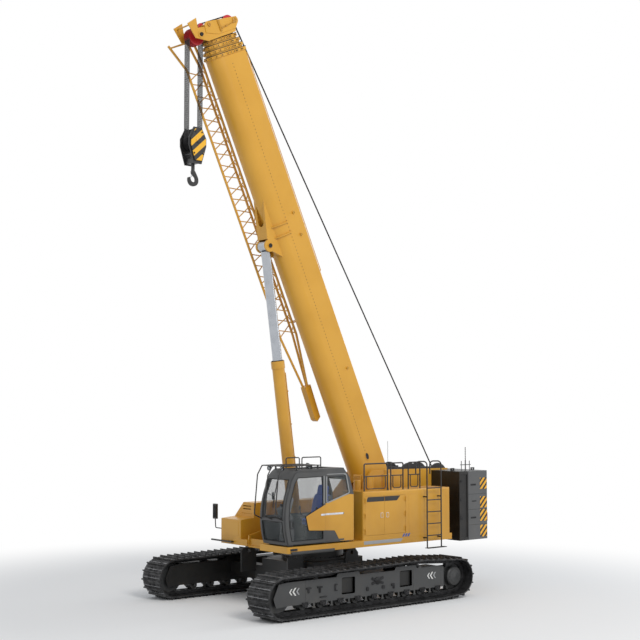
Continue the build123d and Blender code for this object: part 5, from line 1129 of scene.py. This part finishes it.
# ------------------------------------------------------------------ hood, decks and right housing
# columns: leaf, outline of its blank band, latch x
door_leaves = [
    ("front", [(-0.53, 2.352), (-0.60, 2.466), (-1.134, 2.466), (-1.134, 2.352)], -1.0475),
    ("rear", [(-1.146, 2.352), (-1.146, 2.466), (-1.66, 2.466), (-1.55, 2.352)], -1.2325)]
for leaf, band, latch_x in door_leaves:
    body = f"engine_door_{leaf}_leaf"
    blank_band = on_side(rounded(band, 0.006, 3), HOOD_FACE + 0.0012, 0.0024)
    piece(f"blank_band_{leaf}", blank_band, paint_black, body, 0.0006)
    rim = oblong(latch_x, 2.02, 0.078, 0.118, 0.014)
    paddle = oblong(latch_x, 1.995, 0.046, 0.042, 0.008)
    door_latch = joined(frame_slab(rim, grown(rim, -0.021), 0.010, (0, HOOD_FACE + 0.005, 0)),
                        on_side(paddle, HOOD_FACE, 0.018))
    piece(f"door_latch_{leaf}", door_latch, paint_zinc, body, 0.002)
    door_latch_well = on_side(oblong(latch_x, 2.02, 0.056, 0.096, 0.010), HOOD_FACE - 0.0105, 0.002)
    piece(f"door_latch_well_{leaf}", door_latch_well, plastic_black, body)
    door_latch_lock = lathe([(0.013, 0), (0.013, 0.008), (0.008, 0.010), (0, 0.010)],
                            (latch_x, HOOD_FACE - 0.006, 2.045), Y, 20)
    piece(f"door_latch_lock_{leaf}", door_latch_lock, plastic_black, body)

stripe = [(-0.47, 1.352), (-0.47, 1.432), (-1.74, 1.432), (-1.68, 1.352)]
blank_stripe = on_side(rounded(stripe, 0.006, 3), HOOD_FACE - 0.0002, 0.0030)
piece("blank_stripe", blank_stripe, paint_blank, "superstructure", 0.0006)
stroke = np.array([(0, 0), (-0.055, 0), (-0.105, 0.075), (-0.050, 0.075)])
strokes = [on_side(stroke + [-1.72 - 0.085 * step, 1.462], HOOD_FACE + 0.0008, 0.0020)
           for step in range(3)]
piece("blue_strokes", joined(*strokes), paint_blue, "superstructure", 0.0005)

seam_outline = oblong(-2.60, 2.02, 1.30, 0.94, 0.02)
hood_side_seam = frame_slab(seam_outline, grown(seam_outline, -0.006), 0.004, (0, HOOD_FACE + 0.0005, 0))
piece("hood_side_seam", hood_side_seam, paint_yellow, "superstructure", 0.001)
slat = slab([(-0.24, -0.011), (0.24, -0.011), (0.24, 0.006), (-0.24, 0.006)], 0.010)
slat_places = [(x, 1.10, 2.604) for x in np.arange(-2.30, -3.25, -0.055)]
hood_top_louvres = repeated(slat, slat_places, Y, unit([0.5, 0, 0.87]))
piece("hood_top_louvres", hood_top_louvres, paint_yellow, "superstructure", 0.0015)
louvre = slab([(-0.30, -0.012), (0.30, -0.012), (0.30, 0.006), (-0.30, 0.006)], 0.012)
hood_rear_louvres = repeated(louvre, [(-3.392, 1.13, z) for z in np.arange(1.65, 2.45, 0.06)], Y,
                             unit([-0.4, 0, 0.9]))
piece("hood_rear_louvres", hood_rear_louvres, paint_yellow, "superstructure", 0.0015)
rib_lines = np.arange(0.47, 0.75, 0.035)
ribs = [block((-1.085, y - 0.009, 2.22), (-1.050, y + 0.009, 2.93)) for y in rib_lines]
ribbed_guard = joined(block((-1.10, 0.441, 2.20), (-1.085, 0.76, 2.95)), *ribs)
piece("ribbed_guard", ribbed_guard, paint_yellow, "superstructure", 0.003)
antenna_rod = pipe([(-1.38, 1.36, 2.60), (-1.38, 1.36, 3.78)], 0.0045)
antenna_foot = lathe([(0.022, 0), (0.022, 0.03), (0.012, 0.06), (0, 0.06)], (-1.38, 1.36, 2.60), Z, 16)
piece("whip_antenna", joined(antenna_rod, antenna_foot), plastic_black, "superstructure", sharp=50)

step_strip = rounded([(0.46, 1.290), (1.72, 1.290), (1.76, 1.330), (1.72, 1.345), (0.46, 1.345)], 0.01)
deck_step_strip = on_side(step_strip, HOOD_FACE + 0.014, 0.030)
piece("deck_step_strip", deck_step_strip, paint_dark, "superstructure", 0.004)
latch_strip = on_side(oblong(1.66, 1.385, 0.20, 0.05, 0.01), HOOD_FACE + 0.006, 0.016)
piece("deck_latch", latch_strip, plastic_black, "superstructure", 0.003)
treads = [block((x - 0.012, 1.22, 1.4495), (x + 0.012, 1.44, 1.4545)) for x in np.arange(-0.42, -0.20, 0.04)]
piece("deck_tread_bars", joined(*treads), paint_deck, "superstructure", 0.001)

LOCKERS = (0.50, -0.60, -1.70)
lids = [on_side(oblong(x, 1.675, 1.04, 0.34, 0.03), -HOOD_FACE - 0.002, 0.010) for x in LOCKERS]
piece("locker_lids", joined(*lids), paint_yellow, "superstructure", 0.003)
locks = [frame_slab(oblong(x, 1.79, 0.085, 0.055, 0.010), oblong(x, 1.79, 0.060, 0.032, 0.006), 0.010,
                    (0, -HOOD_FACE - 0.011, 0)) for x in LOCKERS]
piece("locker_locks", joined(*locks), chrome, "superstructure", 0.002)
side_slats = repeated(louvre, [(-2.80, -HOOD_FACE - 0.002, z) for z in np.arange(1.52, 1.86, 0.05)], X,
                      unit([0, -0.4, 0.9]))
piece("cooler_louvres", side_slats, paint_yellow, "superstructure", 0.0015)
cap = lathe([(0.075, 0), (0.075, 0.02), (0.060, 0.024), (0.060, 0.060), (0.052, 0.068), (0, 0.070)],
            (-2.45, -0.92, 2.289), Z, 28)
cap_grip = block((-2.475, -0.985, 2.352), (-2.425, -0.855, 2.372))
piece("fuel_cap", joined(cap, cap_grip), plastic_black, "superstructure", 0.003)
front_lid = slab(oblong(-1.10, 1.68, 0.62, 0.36, 0.03), 0.008, (1.532, 0, 0), Y, Z)
piece("locker_front_lid", front_lid, paint_yellow, "superstructure", 0.003)

mirror_ribs = [block((1.504, y - 0.005, 1.89), (1.513, y + 0.005, 2.19))
               for y in np.linspace(-1.89, -1.77, 6)]
piece("mirror_back_ribs", joined(*mirror_ribs), plastic_black, "superstructure", 0.0015)
mirror_face = slab(oblong(-1.83, 2.04, 0.126, 0.33, 0.018), 0.005, (1.4545, 0, 0), Y, Z)
piece("mirror_face", mirror_face, mirror_silver, "superstructure", 0.001)


# ------------------------------------------------------------------ counterweight
# columns: bottom and top of each warning patch
patches = [(1.28, 1.58), (1.68, 1.98), (2.02, 2.31), (2.50, 2.79)]
for side_name, side in SIDES:
    boards = [on_side(oblong(-4.68, (low + high) / 2, 0.256, high - low, 0.004),
                      side * (WEIGHT_FACE + 0.0008), 0.002) for low, high in patches]
    piece(f"warning_patches_{side_name}", joined(*boards), hazard_paint, "superstructure")
    edge = on_side(oblong(-4.112, 2.08, 0.008, 1.72, 0.001), side * (WEIGHT_FACE + 0.0004), 0.0012)
    piece(f"front_panel_edge_{side_name}", edge, plastic_black, "superstructure")
    # columns: x, z, width, height of the handling pockets' lips; the lips are real shapes, their dark colour
    # is painted shade from the pockets
    shaded_lips = [(-4.30, 2.62, 0.20, 0.045), (-4.33, 2.20, 0.16, 0.030), (-4.30, 1.78, 0.20, 0.045),
            (-3.86, 2.72, 0.06, 0.05), (-3.86, 2.25, 0.06, 0.05), (-3.86, 1.80, 0.07, 0.10)]
    shapes = [on_side(oblong(x, z, wide, high, 0.008), side * (WEIGHT_FACE - 0.004), 0.016)
              for x, z, wide, high in shaded_lips]
    piece(f"weight_pocket_shade_lips_{side_name}", joined(*shapes), steel_dark, "superstructure", 0.002,
          slot="cast_block")
    corner = np.array([-4.8375, side * 1.4275, 0])
    corner_way = unit([-1, side, 0])
    lamp = placed(slab(oblong(0, 0, 0.034, 0.22, 0.012), 0.020), corner + [0, 0, 1.78],
                  np.cross(corner_way, Z), Z)
    piece(f"tail_lamp_{side_name}", lamp, paint_red, "superstructure", 0.003)

beads = [(0.0, 0.0), (0.014, 0.0), (0.014, 0.02)]
for height in np.arange(0.05, 0.33, 0.045):
    beads += [(0.006, height), (0.013, height + 0.010), (0.013, height + 0.022), (0.006, height + 0.032)]
mast_aerial = lathe([*beads, (0.004, 0.36), (0, 0.365)], (-4.33, 1.15, 3.218), Z, 16)
piece("mast_aerial", mast_aerial, plastic_black, "superstructure", sharp=60)


# ------------------------------------------------------------------ hook block
block_bolts = [(-0.12, -0.62), (0.12, -0.62), (-0.09, -0.12), (0.09, -0.12)]
hook_block_bolts = on_both_sides(
    lambda side: repeated(bolt_head(0.016, 0.016),
                          [(BLOCK_AXLE[0] + x, side * 0.2362, 11.036 + z) for x, z in block_bolts],
                          X, side * Y))
piece("hook_block_bolts", hook_block_bolts, steel_dark, "hook_block_frame")
latch = on_side(rounded([(3.405, 10.03), (3.425, 10.035), (3.545, 9.885), (3.53, 9.868)], 0.006), 0.0, 0.024)
piece("hook_latch", latch, steel_bright, "swivel_hook", 0.003)


# ------------------------------------------------------------------ studio
scene = bpy.context.scene
scene.view_settings.view_transform = "Standard"

# the camera stands off to the left and front, low, and looks a little upward
EYE = Vector((19.502, 23.713, 4.568))
HEADING = radians(230.04)
RISE = radians(4.07)
way = Vector((cos(HEADING) * cos(RISE), sin(HEADING) * cos(RISE), sin(RISE)))
camera_data = bpy.data.cameras.new("camera")
camera_data.lens = 70.185
camera_data.sensor_width = 36.0
camera_data.clip_end = 400.0
camera = bpy.data.objects.new("camera", camera_data)
camera.location = EYE
camera.rotation_euler = way.to_track_quat("-Z", "Y").to_euler()
scene.collection.objects.link(camera)
scene.camera = camera


def studio_white(name, inner, outer):
    """A pale floor that keeps the shadow near the machine and turns plain white further out."""
    shade = Shade(name)
    reach = shade.node("VectorMath", {"operation": "LENGTH"}, {0: shade.place}, "Value")
    away = shade.step(reach, inner, outer)
    diffuse = shade.node("BsdfDiffuse", None, {"Color": (0.86, 0.86, 0.86, 1)})
    white = shade.node("Emission", None, {"Color": (1, 1, 1, 1), "Strength": 1.0})
    share = shade.bright_rays() * away
    return shade.shown(shade.node("MixShader", None, {0: share, 1: diffuse, 2: white}), "Material")


def studio_world(name):
    """Plain white to the camera, in gloss and through glass, and a soft cool fill light."""
    shade = Shade(name, "worlds")
    fill = shade.node("Background", None, {"Color": (0.93, 0.96, 1.0, 1), "Strength": 0.62})
    white = shade.node("Background", None, {"Color": (1, 1, 1, 1), "Strength": 1.0})
    mixed = shade.node("MixShader", None, {0: shade.bright_rays(), 1: fill, 2: white})
    return shade.shown(mixed, "World")


def flat_disc(name, radius, height, sides=96):
    """A flat round sheet: points at equal turns on one circle."""
    points = np.column_stack([circle(radius, sides), np.full(sides, height)])
    mesh = bpy.data.meshes.new(name)
    mesh.from_pydata(points.tolist(), [], [list(range(sides))])
    sheet = bpy.data.objects.new(name, mesh)
    scene.collection.objects.link(sheet)
    return sheet


floor = flat_disc("floor", 150.0, -0.002)
floor.data.materials.append(studio_white("studio_floor", 7.0, 15.0))
scene.world = studio_world("studio")

# columns: name, place, aim, width, power, colour
lamps = [("key_lamp", (6.0, 30.0, 26.0), (0, 0, 4), 14.0, 5200.0, (1.0, 0.98, 0.94)),
         ("rim_lamp", (-26.0, 6.0, 14.0), (0, 0, 4), 12.0, 1200.0, (0.95, 0.97, 1.0))]
for lamp_name, place, aim, width, power, tint in lamps:
    lamp_data = bpy.data.lights.new(lamp_name, "AREA")
    lamp_data.shape = "DISK"
    lamp_data.size = width
    lamp_data.energy = power
    lamp_data.color = tint
    lamp = bpy.data.objects.new(lamp_name, lamp_data)
    lamp.location = place
    lamp.rotation_euler = (Vector(aim) - Vector(place)).to_track_quat("-Z", "Y").to_euler()
    scene.collection.objects.link(lamp)
